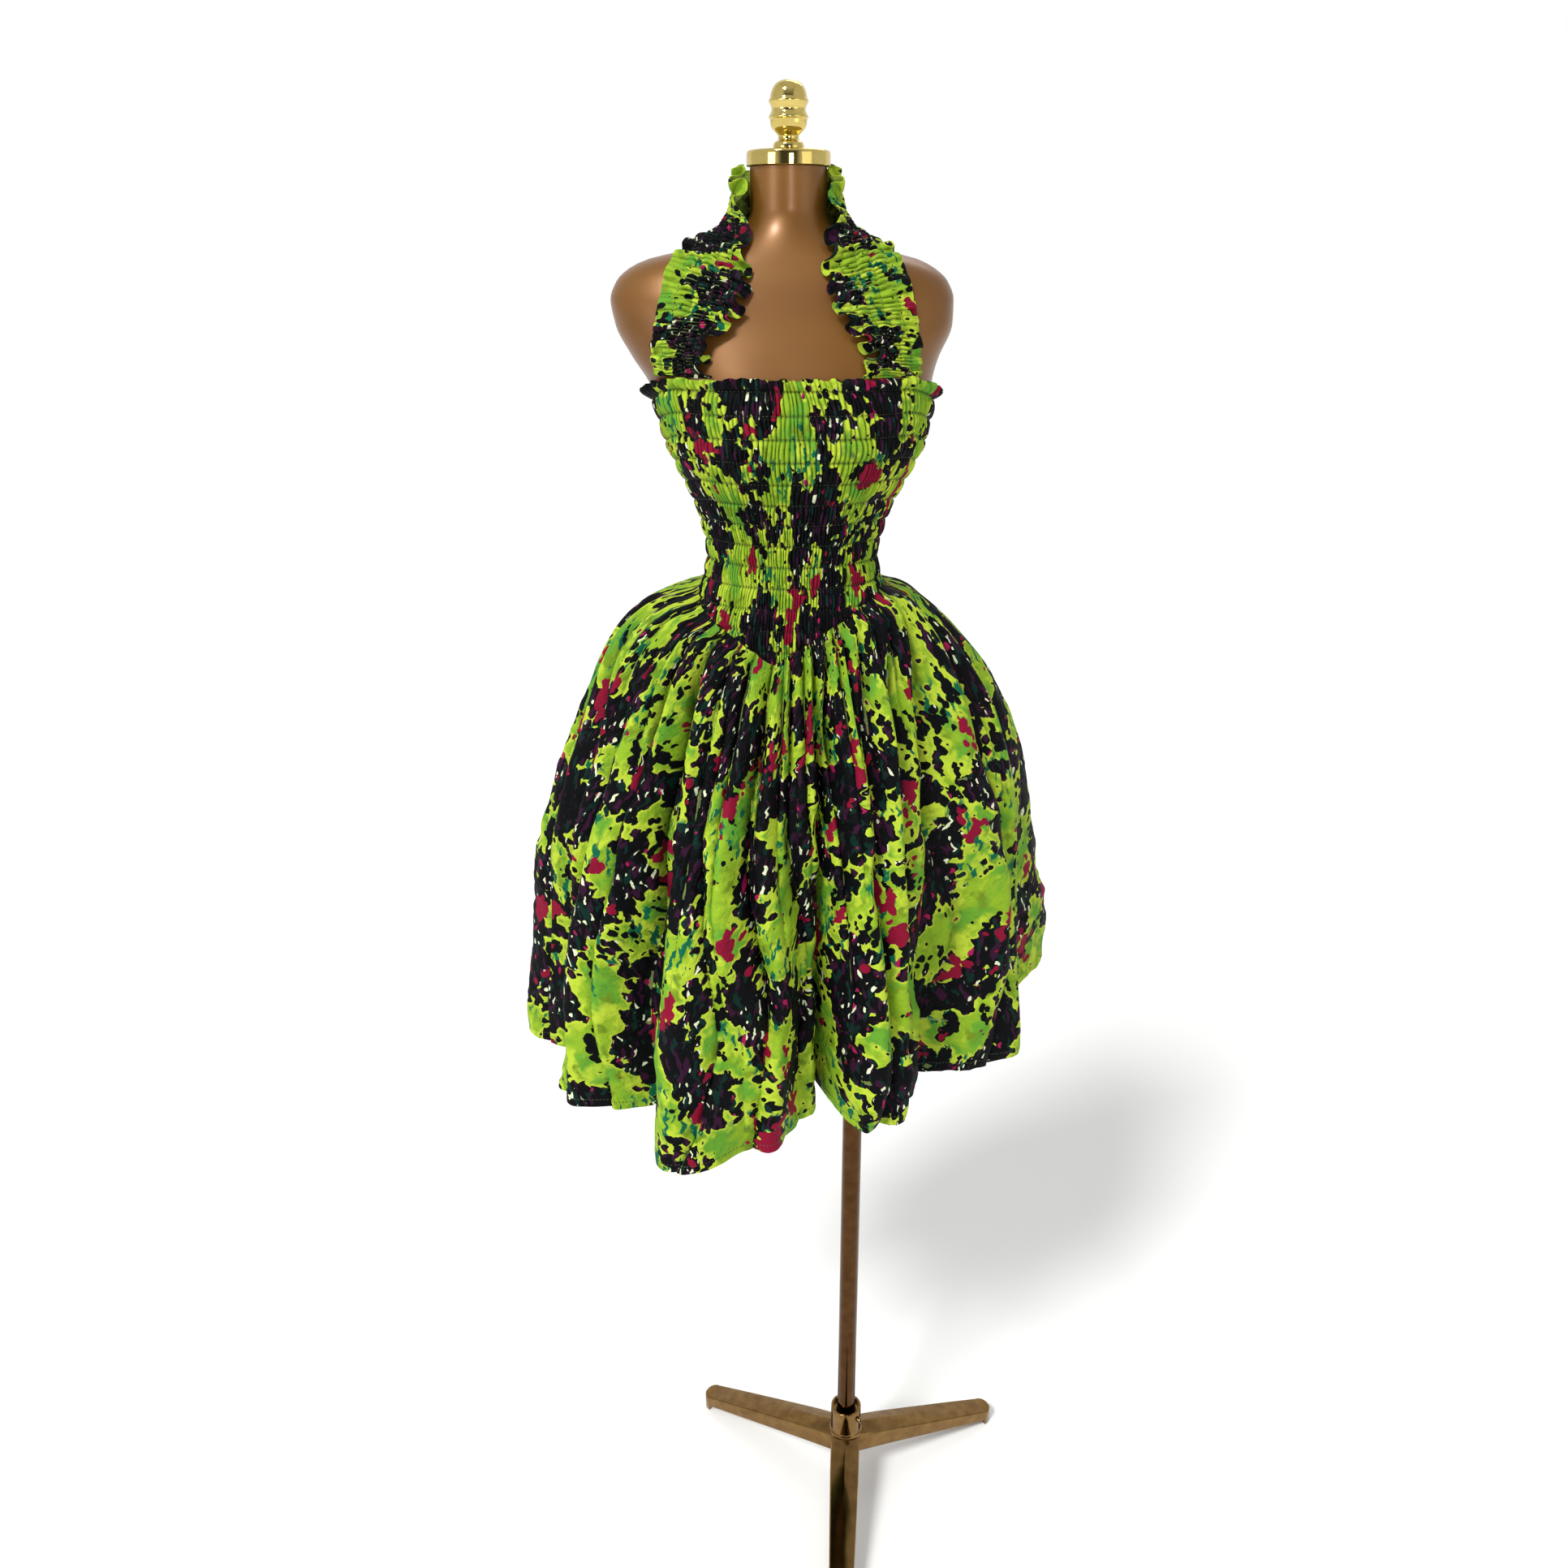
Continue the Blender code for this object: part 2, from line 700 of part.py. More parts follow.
def grid_normal(grid, level, column):
    above = grid[max(level - 1, 0)][column]
    below = grid[min(level + 1, len(grid) - 1)][column]
    before = grid[level][max(column - 1, 0)]
    after = grid[level][min(column + 1, len(grid[0]) - 1)]
    return (below - above).cross(after - before).normalized()


def build_strap(name, side):
    smooth = []
    for station in range(STRAP_STATIONS + 1):
        share = station / STRAP_STATIONS
        outer_edge = strap_edge(share, 0)
        inner_edge = strap_edge(share, 3)
        row = []
        for step in range(STRAP_ACROSS + 1):
            point = outer_edge.lerp(inner_edge, step / STRAP_ACROSS)
            point.x = STRAP_SHIFT + side * point.x
            row.append(clear_of_form(point, STRAP_LIFT))
        smooth.append(row)
    middle = []
    for station, row in enumerate(smooth):
        end_fade = ease(0.0, 2.0, min(station, STRAP_STATIONS - station))
        wavy = []
        for step, point in enumerate(row):
            across = abs(2.0 * step / STRAP_ACROSS - 1.0)
            frill = FRILL_DEPTH * ease(FRILL_FROM, 1.0, across) * end_fade
            wave = 1.0 if station % 2 else -0.6
            normal = grid_normal(smooth, station, step) * side
            wavy.append(clear_of_form(point - normal * frill * wave, STRAP_CLEAR))
        middle.append(wavy)
    outer, inner = [], []
    for station, row in enumerate(middle):
        outer_row, inner_row = [], []
        for step, point in enumerate(row):
            half_wall = grid_normal(middle, station, step) * (side * WALL / 2.0)
            face, back = point - half_wall, point + half_wall
            if station == 0:
                face.z = back.z = STRAP_BASE
            if station == STRAP_STATIONS:
                face.x = back.x = STRAP_SHIFT + side * SEAM_GAP / 2.0
            outer_row.append(face)
            inner_row.append(back)
        outer.append(outer_row)
        inner.append(inner_row)
    add_wall(name, outer, inner, CLOTH_STRAP)


build_strap("strap_right", 1.0)
build_strap("strap_left", -1.0)


# Neck cap and finial

add_turned("neck_cap", CAP_OUTLINE, CAP_STEPS, GOLD_PLATE, centre=(NECK_X, 0.0))
add_turned("finial", FINIAL_OUTLINE, FINIAL_STEPS, GOLD_PLATE, centre=(NECK_X, 0.0), tip=FINIAL_TIP)


# Pole, hub with its collar, set screw and legs

add_turned(
    "pole",
    ((POLE_RADIUS, POLE_BOTTOM), (POLE_RADIUS, POLE_TOP)),
    POLE_STEPS,
    BRONZE_PLATE,
    centre=(POLE_X, 0.0),
)
add_turned("hub", HUB_OUTLINE, HUB_STEPS, BRONZE_PLATE, centre=(POLE_X, 0.0), tube=True)

hub_space = add_turned(
    "hub_cutter",
    ((HUB_RADIUS + POLE_CLEAR, 0.0), (HUB_RADIUS + POLE_CLEAR, HUB_CUTTER_TOP)),
    HUB_STEPS,
    BRONZE_PLATE,
    centre=(POLE_X, 0.0),
)
hub_space.hide_render = True
hub_space.display_type = "WIRE"


def build_leg(name, degrees):
    direction = Vector((math.cos(math.radians(degrees)), math.sin(math.radians(degrees)), 0.0))
    aside = Vector((-direction.y, direction.x, 0.0))
    axis = Vector((POLE_X, 0.0, 0.0))
    shape = bmesh.new()
    rings = []
    for distance, width, top, underside in LEG_SECTIONS:
        ring = []
        for across, up in LEG_SECTION_SHAPE:
            height = underside + (top - underside) * up
            point = axis + direction * distance + aside * (across * width)
            ring.append(shape.verts.new((point.x, point.y, height)))
        rings.append(ring)
    count = len(LEG_SECTION_SHAPE)
    for nearer, further in zip(rings, rings[1:]):
        for index in range(count):
            after = (index + 1) % count
            shape.faces.new((nearer[index], nearer[after], further[after], further[index]))
    shape.faces.new(rings[0])
    shape.faces.new(rings[-1])
    leg = add_object(name, shape, BRONZE_PLATE)
    hub_cut = leg.modifiers.new("hub", "BOOLEAN")
    hub_cut.operation = "DIFFERENCE"
    hub_cut.solver = "EXACT"
    hub_cut.object = hub_space


for leg_name, leg_degrees in LEG_ANGLES.items():
    build_leg(leg_name, leg_degrees)


def build_screw():
    """A short round screw head, level, standing off the collar."""
    turn = math.radians(SCREW_ANGLE)
    direction = Vector((math.cos(turn), math.sin(turn), 0.0))
    aside = Vector((-direction.y, direction.x, 0.0))
    start = Vector((POLE_X, 0.0, SCREW_HEIGHT)) + direction * (COLLAR_RADIUS + POLE_CLEAR)
    shape = bmesh.new()
    rings = []
    for along, radius in SCREW_OUTLINE:
        ring = []
        for step in range(SCREW_STEPS):
            angle = math.tau * step / SCREW_STEPS
            point = start + direction * along + aside * (radius * math.cos(angle))
            point.z += radius * math.sin(angle)
            ring.append(shape.verts.new(point))
        rings.append(ring)
    for nearer, further in zip(rings, rings[1:]):
        for step in range(SCREW_STEPS):
            after = (step + 1) % SCREW_STEPS
            shape.faces.new((nearer[step], nearer[after], further[after], further[step]))
    shape.faces.new(rings[0])
    shape.faces.new(rings[-1])
    add_object("set_screw", shape, BRONZE_PLATE)


build_screw()
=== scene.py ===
import math
from bisect import bisect_right

import bmesh
import bpy
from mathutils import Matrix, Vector, noise
from mathutils.bvhtree import BVHTree


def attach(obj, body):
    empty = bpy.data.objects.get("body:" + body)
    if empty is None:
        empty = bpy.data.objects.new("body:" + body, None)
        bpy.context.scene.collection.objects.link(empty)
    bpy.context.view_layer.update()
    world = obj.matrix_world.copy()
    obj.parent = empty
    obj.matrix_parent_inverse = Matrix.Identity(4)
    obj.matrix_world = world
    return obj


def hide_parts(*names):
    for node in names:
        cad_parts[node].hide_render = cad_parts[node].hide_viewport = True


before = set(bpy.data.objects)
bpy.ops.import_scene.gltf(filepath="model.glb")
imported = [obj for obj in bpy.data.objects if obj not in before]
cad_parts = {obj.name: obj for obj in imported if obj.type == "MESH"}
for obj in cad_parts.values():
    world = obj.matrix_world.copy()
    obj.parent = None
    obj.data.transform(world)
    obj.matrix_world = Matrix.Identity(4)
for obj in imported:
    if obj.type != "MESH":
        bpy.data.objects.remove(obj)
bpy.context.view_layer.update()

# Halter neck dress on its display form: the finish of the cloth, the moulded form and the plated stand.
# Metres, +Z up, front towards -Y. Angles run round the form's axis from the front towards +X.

formAxis = Vector((-0.0030, -0.0070, 0.0))  # the form's own axis in the frame
bpy.context.scene.view_settings.view_transform = "Standard"


def deselectAll():
    for thing in bpy.context.selected_objects:
        thing.select_set(False)


def makeActive(piece):
    deselectAll()
    piece.select_set(True)
    bpy.context.view_layer.objects.active = piece


def applyModifier(piece, kind, **settings):
    makeActive(piece)
    made = piece.modifiers.new(kind.lower(), kind)
    for key, value in settings.items():
        setattr(made, key, value)
    bpy.ops.object.modifier_apply(modifier=made.name)


def endEditing():  # with every face turned outward
    bpy.ops.mesh.select_all(action="SELECT")
    bpy.ops.mesh.normals_make_consistent(inside=False)
    bpy.ops.object.mode_set(mode="OBJECT")


def shadeSmooth(piece, degrees):
    makeActive(piece)
    bpy.ops.object.shade_smooth_by_angle(angle=math.radians(degrees))


def addObject(name, data):
    piece = bpy.data.objects.new(name, data)
    bpy.context.scene.collection.objects.link(piece)
    makeActive(piece)
    return piece


def noiseAt(x, y, z):
    return noise.noise(Vector((x, y, z)))


def easeBetween(low, high, value):
    share = min(max((value - low) / (high - low), 0.0), 1.0)
    return share * share * (3.0 - 2.0 * share)


def wrapped(angle):
    return math.remainder(angle, math.tau)


def slopeAt(rows, index, column):
    if index in (0, len(rows) - 1):
        return 0.0
    before, here, after = rows[index - 1:index + 2]
    left = (here[column] - before[column]) / (here[0] - before[0])
    right = (after[column] - here[column]) / (after[0] - here[0])
    return 2.0 * left * right / (left + right) if left * right > 0.0 else 0.0


def curveBetween(start, end, leave, arrive, share):
    square, cube = share * share, share * share * share
    return (
        start * (2.0 * cube - 3.0 * square + 1.0) + leave * (cube - 2.0 * square + share)
        + end * (3.0 * square - 2.0 * cube) + arrive * (cube - square)
    )


def readTable(rows, place, column):  # smooth between rows, and never past a neighbour
    low, high = sorted((rows[0][0], rows[-1][0]))
    place = min(max(place, low), high)
    for index in range(len(rows) - 1):
        start, end = rows[index], rows[index + 1]
        if min(start[0], end[0]) <= place <= max(start[0], end[0]):
            break
    width = end[0] - start[0]
    leave, arrive = slopeAt(rows, index, column) * width, slopeAt(rows, index + 1, column) * width
    return curveBetween(start[column], end[column], leave, arrive, (place - start[0]) / width)


def readAround(rows, angle, column, sharpness=1.0):  # rows in degrees; below 1 narrows the troughs
    degrees = math.degrees(angle)
    while degrees < rows[0][0]:
        degrees += 360.0
    while degrees >= rows[0][0] + 360.0:
        degrees -= 360.0
    turned = rows + ((rows[0][0] + 360.0, *rows[0][1:]),)
    for start, end in zip(turned, turned[1:]):
        if degrees <= end[0]:
            break
    share = (degrees - start[0]) / (end[0] - start[0])
    low, high = sorted((start[column], end[column]))
    toHigh = share if end[column] > start[column] else 1.0 - share
    return low + (high - low) * (0.5 - 0.5 * math.cos(math.pi * toHigh)) ** sharpness


side = math.radians(90.0)
poleMiddle = (formAxis.x + 0.0825, formAxis.y)

# Form

formSections = (
    # height, half width, front, back, squareness, bust, middle's x
    (1.7427, 0.0385, 0.0385, 0.0385, 2.0, 0.000, -0.0015),
    (1.7040, 0.0388, 0.0388, 0.0388, 2.0, 0.000, -0.0015),
    (1.6890, 0.0440, 0.0425, 0.0430, 2.0, 0.000, -0.0020),
    (1.6790, 0.0590, 0.0465, 0.0490, 2.0, 0.000, -0.0040),
    (1.6720, 0.0790, 0.0500, 0.0540, 2.0, 0.000, -0.0050),
    (1.6650, 0.1050, 0.0535, 0.0580, 2.1, 0.000, -0.0060),
    (1.6580, 0.1360, 0.0570, 0.0610, 2.2, 0.000, -0.0070),
    (1.6490, 0.1555, 0.0610, 0.0640, 2.3, 0.000, -0.0080),
    (1.6370, 0.1690, 0.0665, 0.0690, 2.35, 0.000, -0.0080),
    (1.6190, 0.1760, 0.0740, 0.0750, 2.4, 0.000, -0.0080),
    (1.5940, 0.1735, 0.0840, 0.0820, 2.4, 0.000, -0.0060),
    (1.5650, 0.1600, 0.0960, 0.0860, 2.35, 0.010, -0.0045),
    (1.5390, 0.1480, 0.1060, 0.0880, 2.3, 0.025, 0.0005),
    (1.5090, 0.1410, 0.1140, 0.0870, 2.2, 0.040, 0.0045),
    (1.4790, 0.1335, 0.1150, 0.0840, 2.1, 0.045, 0.0060),
    (1.4490, 0.1200, 0.1080, 0.0800, 2.1, 0.030, 0.0060),
    (1.4190, 0.1050, 0.0940, 0.0760, 2.0, 0.010, 0.0045),
    (1.3890, 0.0940, 0.0820, 0.0730, 2.0, 0.000, 0.0040),
    (1.3580, 0.0885, 0.0770, 0.0720, 2.0, 0.000, 0.0030),
    (1.3260, 0.0950, 0.0780, 0.0750, 2.0, 0.000, 0.0030),
    (1.2890, 0.1110, 0.0815, 0.0830, 2.0, 0.000, 0.0020),
    (1.2490, 0.1240, 0.0840, 0.0930, 2.1, 0.000, 0.0010),
    (1.2090, 0.1330, 0.0850, 0.1000, 2.2, 0.000, 0.0000),
    (1.1790, 0.1330, 0.0830, 0.1000, 2.3, 0.000, 0.0000),
    (1.1660, 0.1260, 0.0760, 0.0930, 2.3, 0.000, 0.0000),
    (1.1610, 0.1130, 0.0660, 0.0820, 2.3, 0.000, 0.0000),
)
form = {
    "steps": 96, "levelGap": 0.006, "bustAngle": math.radians(30.0), "bustSpread": math.radians(19.0),
    "socketRadius": 0.0128, "socketDepth": 0.20, "socketTop": 1.2643,
}


def pointAt(angle, radius, height):
    middle = readTable(formSections, height, 6)
    return formAxis + Vector((middle + radius * math.sin(angle), -radius * math.cos(angle), height))


def sectionAt(height):  # half width, front, back, squareness, bust
    return [readTable(formSections, height, column) for column in range(1, 6)]


def radiusIn(section, angle):
    halfWidth, front, back, square, bust = section
    across = abs(math.sin(angle)) / halfWidth
    along = abs(math.cos(angle)) / (front if math.cos(angle) > 0.0 else back)
    radius = (across**square + along**square) ** (-1.0 / square)
    beside = (abs(wrapped(angle)) - form["bustAngle"]) / form["bustSpread"]
    return radius * (1.0 + bust * math.exp(-beside * beside))


def formRadius(height, angle):
    return radiusIn(sectionAt(height), angle)


# Rings of points joined into a closed body: a filled circle is added, then extruded ring by ring


def loftRings(name, rings):
    deselectAll()
    bpy.ops.mesh.primitive_circle_add(vertices=len(rings[0]), radius=0.01, fill_type="NGON")
    piece = bpy.context.object
    piece.name = piece.data.name = name
    bpy.ops.object.mode_set(mode="EDIT")
    for index, ring in enumerate(rings):
        if index:
            bpy.ops.mesh.extrude_region_move()
        shape = bmesh.from_edit_mesh(piece.data)
        for vertex, point in zip(list(shape.verts)[-len(ring):], ring):
            vertex.co = point
        bmesh.update_edit_mesh(piece.data)
    endEditing()
    return piece


# Cloth panels: a fine outer grid of points and a plainer inner one, closed into a thin wall round the borders

def gridFaces(grid):
    faces = []
    for upper, lower in zip(grid, grid[1:]):
        for index in range(len(upper) - 1):
            faces.append((upper[index], upper[index + 1], lower[index + 1], lower[index]))
    return faces


def zipEdges(first, second):
    faces, here, there = [], 0, 0
    firstEnd, secondEnd = len(first) - 1, len(second) - 1
    while here < firstEnd or there < secondEnd:
        stepFirst = (here + 1) / firstEnd if here < firstEnd else 2.0
        stepSecond = (there + 1) / secondEnd if there < secondEnd else 2.0
        if stepFirst <= stepSecond:
            faces.append((first[here], first[here + 1], second[there]))
            here += 1
        else:
            faces.append((first[here], second[there + 1], second[there]))
            there += 1
    return faces


def bordersOf(grid):
    return grid[0], [row[-1] for row in grid], grid[-1], [row[0] for row in grid]


def clothWall(name, node, kind, outer, outerPlaces, paintedShade, insidePoint):
    levels, columns = [everyNth(len(grid), step) for grid, step in zip((outer, outer[0]), kind["innerStep"])]
    inner = [[insidePoint(level, column) for column in columns] for level in levels]
    innerPlaces = [[outerPlaces[level][column] for column in columns] for level in levels]
    points, places, grids = [], [], []
    for rows, rowPlaces in ((outer, outerPlaces), (inner, innerPlaces)):
        grids.append([])
        for row, rowPlace in zip(rows, rowPlaces):
            grids[-1].append(list(range(len(points), len(points) + len(row))))
            points.extend(row)
            places.extend(rowPlace)
    faces = gridFaces(grids[0])
    for outerEdge, innerEdge in zip(bordersOf(grids[0]), bordersOf(grids[1])):
        faces.extend(zipEdges(outerEdge, innerEdge))
    insideFrom = len(faces)
    faces.extend(gridFaces(grids[1]))
    mesh = bpy.data.meshes.new(name)
    mesh.from_pydata(points, [], faces)
    layer = mesh.uv_layers.new(name="cloth")  # metres on the flat cloth
    for loop in mesh.loops:
        layer.data[loop.index].uv = places[loop.vertex_index]
    # painted shade: each point's share of the darkening that the finish multiplies into the print colour
    paintedShadeValues = [value for row in paintedShade for value in row]
    paintedShadeLayer = mesh.attributes.new("paintedShade", "FLOAT", "POINT")  # 1 at the bottom of a tight fold
    paintedShadeLayer.data.foreach_set("value", paintedShadeValues + [0.0] * (len(points) - len(paintedShadeValues)))
    mesh.materials.append(cottonFace)
    mesh.materials.append(cottonBack)
    for face in mesh.polygons:
        face.material_index = 1 if face.index >= insideFrom else 0
    piece = addObject(name, mesh)
    bpy.ops.object.mode_set(mode="EDIT")
    endEditing()
    shadeSmooth(piece, 70.0)
    print(name, "faces", len(faces))
    return settle(piece, None, kind["slot"], node)


def gridNormal(grid, level, column):
    above = grid[max(level - 1, 0)][column]
    below = grid[min(level + 1, len(grid) - 1)][column]
    before = grid[level][max(column - 1, 0)]
    after = grid[level][min(column + 1, len(grid[0]) - 1)]
    return (below - above).cross(after - before).normalized()


def everyNth(count, step):  # with the last one
    picked = list(range(0, count, step))
    return picked if picked[-1] == count - 1 else picked + [count - 1]


def arcLengths(points):
    run = [0.0]
    for first, second in zip(points, points[1:]):
        run.append(run[-1] + (second - first).length)
    return run


# The place of each point on the flat cloth, in metres: a panel as wide as its hem, gathered into the waist


def gatheredPlaces(grid, origin):
    shares, falls, fallen, widest = [], [], 0.0, 0.0
    for level, row in enumerate(grid):
        if level:
            fallen += sum((a - b).length for a, b in zip(row, grid[level - 1])) / len(row)
        arc = arcLengths(row)
        shares.append([length / arc[-1] - 0.5 for length in arc])
        falls.append(fallen)
        widest = max(widest, arc[-1])
    reach, stride, places = 18, 6, []  # levels above and below that are averaged, and how many apart
    for level, fall in enumerate(falls):
        near = shares[max(level - reach, 0):level + reach + 1:stride]
        places.append([(origin + widest * sum(column) / len(near), -fall) for column in zip(*near)])
    return places


def stripPlaces(grid, origin, ratio):  # a straight strip, gathered lengthways
    run, places = 0.0, []
    for station, row in enumerate(grid):
        if station:
            middle = len(row) // 2
            run += (row[middle] - grid[station - 1][middle]).length * ratio
        width = (row[-1] - row[0]).length
        places.append([(origin + width * step / (len(row) - 1), run) for step in range(len(row))])
    return places


# Machine stitches: short lengths of thread along a row of points, each dipping into the cloth at its ends

stitch = {"length": 0.0034, "gap": 0.0009, "thick": 0.00048, "lift": 0.00025, "dip": 0.00060}


def sewRows(name, rows, slotName):
    drawn = bpy.data.curves.new(name, "CURVE")
    drawn.dimensions = "3D"
    drawn.bevel_depth = stitch["thick"]
    drawn.bevel_resolution = 0
    for points, normals in rows:
        run = arcLengths(points)
        start, index = stitch["gap"], 0
        while start + stitch["length"] < run[-1]:
            spline = drawn.splines.new("POLY")
            spline.points.add(2)
            for knot, lift in enumerate((-stitch["dip"], stitch["lift"], -stitch["dip"])):
                goal = start + stitch["length"] * knot / 2.0
                while run[index + 1] < goal:
                    index += 1
                share = (goal - run[index]) / (run[index + 1] - run[index])
                point = points[index].lerp(points[index + 1], share) + normals[index] * lift
                spline.points[knot].co = (*point, 1.0)
            start += stitch["length"] + stitch["gap"]
    piece = addObject(name, drawn)
    bpy.ops.object.convert(target="MESH")
    return settle(piece, thread, slotName)


# Bodice: rows of elastic thread over narrow puckers, under a frilled heading

bodice = {
    "topFront": 1.5480, "topSide": 1.5300, "topBack": 1.5190, "heading": 0.0110,
    "topSlopeFrom": math.radians(54.0), "topSlopeTo": math.radians(135.0),
    "flareFront": 0.0030, "flareSide": 0.0060, "flareSpread": math.radians(26.0),
    "flareCurl": math.radians(140.0), "rows": 9, "rowsInV": 5,
    "seamSide": 1.3260, "vDrop": 0.0730, "vShape": 1.3, "vAngle": math.radians(-12.0),
    "vMargin": 0.0080, "seamGap": 0.0004, "ease": 0.0017, "wall": 0.0012, "liningEase": 0.9,
    "puckers": 80, "columns": 720, "linesABand": 9, "linesInV": 36, "headingLines": 9, "innerStep": (3, 8),
    "puckerDepth": 0.0032, "puckerAtRow": 0.0013, "puckerUneven": 0.55, "puckerDrift": 0.8, "puckerJump": 0.7,
    "grooveDepth": 0.0010, "grooveWidth": 0.0017, "stitchMargin": 0.0025, "fewestPoints": 8,
    "headingWave": 0.0022, "headingFlutes": 34, "headingRise": 2.0, "headingPucker": 0.4, "edgeWave": 0.0032,
    "flatWidth": 0.58, "tucked": 0.75, "valleyShade": 0.85, "headingShade": 0.5, "rowShade": 0.42,
    "rowShadeWidth": 0.0010, "slot": "printed_cotton_bodice",
}


def topHeight(angle):
    turn = abs(wrapped(angle))
    toSide = easeBetween(bodice["topSlopeFrom"], side, turn)
    toBack = easeBetween(side, bodice["topSlopeTo"], turn)
    front, beside, back = bodice["topFront"], bodice["topSide"], bodice["topBack"]
    return front + (beside - front) * toSide + (back - beside) * toBack


def seamHeight(angle):
    fromPoint = abs(wrapped(angle - bodice["vAngle"])) / side
    return bodice["seamSide"] - bodice["vDrop"] * max(0.0, 1.0 - fromPoint) ** bodice["vShape"]

def besideShare(angle):  # 1 at both side seams
    return math.exp(-(((abs(wrapped(angle)) - side) / bodice["flareSpread"]) ** 2))


def headingFlare(angle, height):
    full = bodice["flareFront"] + (bodice["flareSide"] - bodice["flareFront"]) * besideShare(angle)
    risen = max(0.0, 1.0 - (topHeight(angle) - height) / bodice["heading"])
    return full * math.sin(risen * bodice["flareCurl"]) / math.sin(min(bodice["flareCurl"], side))


def rowLimits(angle):  # heights of the first elastic row and of the last above the V
    return topHeight(angle) - bodice["heading"], bodice["seamSide"] + bodice["vMargin"]


def bandPlace(angle, height):  # 0 at the first elastic row, then one more at each row below
    firstRow, lastRow = rowLimits(angle)
    return bodice["rows"] * (firstRow - height) / (firstRow - lastRow)


def besideRow(angle, band, width):  # 1 on an elastic row
    firstRow, lastRow = rowLimits(angle)
    away = abs(band - round(band)) * ((firstRow - lastRow) / bodice["rows"]) / width
    return math.exp(-away * away)


def puckerPhase(share, band, seed):  # whole numbers fall in the valleys between puckers
    row = math.floor(band)
    bulge = math.sin(math.pi * (band - row)) ** 0.6 if band > 0.0 else 0.0
    drift = bodice["puckerDrift"] * noiseAt(share * 17.0, band * 0.6, seed)
    jump = bodice["puckerJump"] * noiseAt(share * 45.0, row * 7.3, seed + 4.0)
    return share * bodice["puckers"] + drift + jump * bulge, bulge


def puckerHeight(share, angle, height, seed):
    band = bandPlace(angle, height)
    phase, bulge = puckerPhase(share, band, seed)
    ridge = abs(math.sin(math.pi * phase)) ** 0.45
    uneven = 1.0 + bodice["puckerUneven"] * noiseAt(share * 38.0, band * 1.3, seed + 9.0)
    low, full = bodice["puckerAtRow"], bodice["puckerDepth"]
    if band >= 0.0:
        groove = bodice["grooveDepth"] * besideRow(angle, band, bodice["grooveWidth"])
        return (low + (full - low) * bulge) * ridge * uneven - groove
    rise = min(-band * bodice["headingRise"], 1.0)
    flute = math.sin(math.tau * (share * bodice["headingFlutes"] + noiseAt(share * 17.0, 1.0, seed)))
    small = low + full * bodice["headingPucker"] * rise
    return small * ridge * uneven + bodice["headingWave"] * (1.0 + besideShare(angle)) * flute * rise


# painted shade: how dark the print is painted in the valleys between puckers, under the heading's flutes and
# along each elastic row
def puckerPaintedShade(share, angle, height, seed):
    band = bandPlace(angle, height)
    valleyPaintedShade = (1.0 - abs(math.sin(math.pi * puckerPhase(share, band, seed)[0]))) ** 2.2
    if band < 0.0:
        return bodice["headingShade"] * valleyPaintedShade
    onRow = besideRow(angle, band, bodice["rowShadeWidth"])
    return min(1.0, bodice["valleyShade"] * valleyPaintedShade + bodice["rowShade"] * onRow)


def flatShare(share, angle, height, seed):  # most of the cloth is tucked into the valleys
    phase = puckerPhase(share, bandPlace(angle, height), seed)[0]
    return share + bodice["tucked"] * math.sin(math.tau * phase) / math.tau / bodice["puckers"]


def bodiceHeights(angle, share, seed):
    firstRow, lastRow = rowLimits(angle)
    top = topHeight(angle) + bodice["edgeWave"] * noiseAt(share * 60.0, 3.0, seed)
    bottom = seamHeight(angle) + bodice["seamGap"] / 2.0
    heights = []
    for start, end, lines in ((top, firstRow, bodice["headingLines"]),
                              (firstRow, lastRow, bodice["rows"] * bodice["linesABand"]),
                              (lastRow, bottom, bodice["linesInV"])):
        heights += [start + (end - start) * step / lines for step in range(lines)]
    return heights + [bottom]


def bodicePoint(share, angle, height, seed):
    radius = formRadius(height, angle) + bodice["ease"] + bodice["wall"]
    radius += headingFlare(angle, height) + puckerHeight(share, angle, height, seed)
    return pointAt(angle, radius, height)


def elasticRows(across, seed):  # each row runs level round the body until the V seam cuts it off
    rows = []
    for row in range(bodice["rows"] + bodice["rowsInV"]):
        points, normals = [], []
        for share, angle in across:
            firstRow, lastRow = rowLimits(angle)
            height = firstRow - (firstRow - lastRow) * row / bodice["rows"]
            if height > seamHeight(angle) + bodice["stitchMargin"]:
                points.append(bodicePoint(share, angle, height, seed))
                normals.append(Vector((math.sin(angle), -math.cos(angle), 0.0)))
            elif len(points) > bodice["fewestPoints"]:
                rows.append((points, normals))
                points, normals = [], []
        if len(points) > bodice["fewestPoints"]:
            rows.append((points, normals))
    return rows


def makeBodice(name, node, start, end, seed):
    shares = [column / bodice["columns"] for column in range(bodice["columns"] + 1)]
    across = [(share, start + (end - start) * share) for share in shares]
    heights = [bodiceHeights(angle, share, seed) for share, angle in across]
    outer, flat, paintedShade = [], [], []
    for level in range(len(heights[0])):
        spots = [(*place, column[level], seed) for place, column in zip(across, heights)]
        outer.append([bodicePoint(*spot) for spot in spots])
        paintedShade.append([puckerPaintedShade(*spot) for spot in spots])
        flat.append([((flatShare(*spot) - 0.5) * bodice["flatWidth"] + seed, spot[2]) for spot in spots])

    def insidePoint(level, column):  # smooth, below the puckers
        angle, height = across[column][1], heights[column][level]
        radius = formRadius(height, angle) + bodice["ease"] * bodice["liningEase"]
        return pointAt(angle, radius + headingFlare(angle, height), height)

    sewRows(name + "Stitches", elasticRows(across, seed), bodice["slot"])
    return clothWall(name, node, bodice, outer, flat, paintedShade, insidePoint)


# Skirt: soft tubes gathered into the waist seam that open into the big folds of the hem

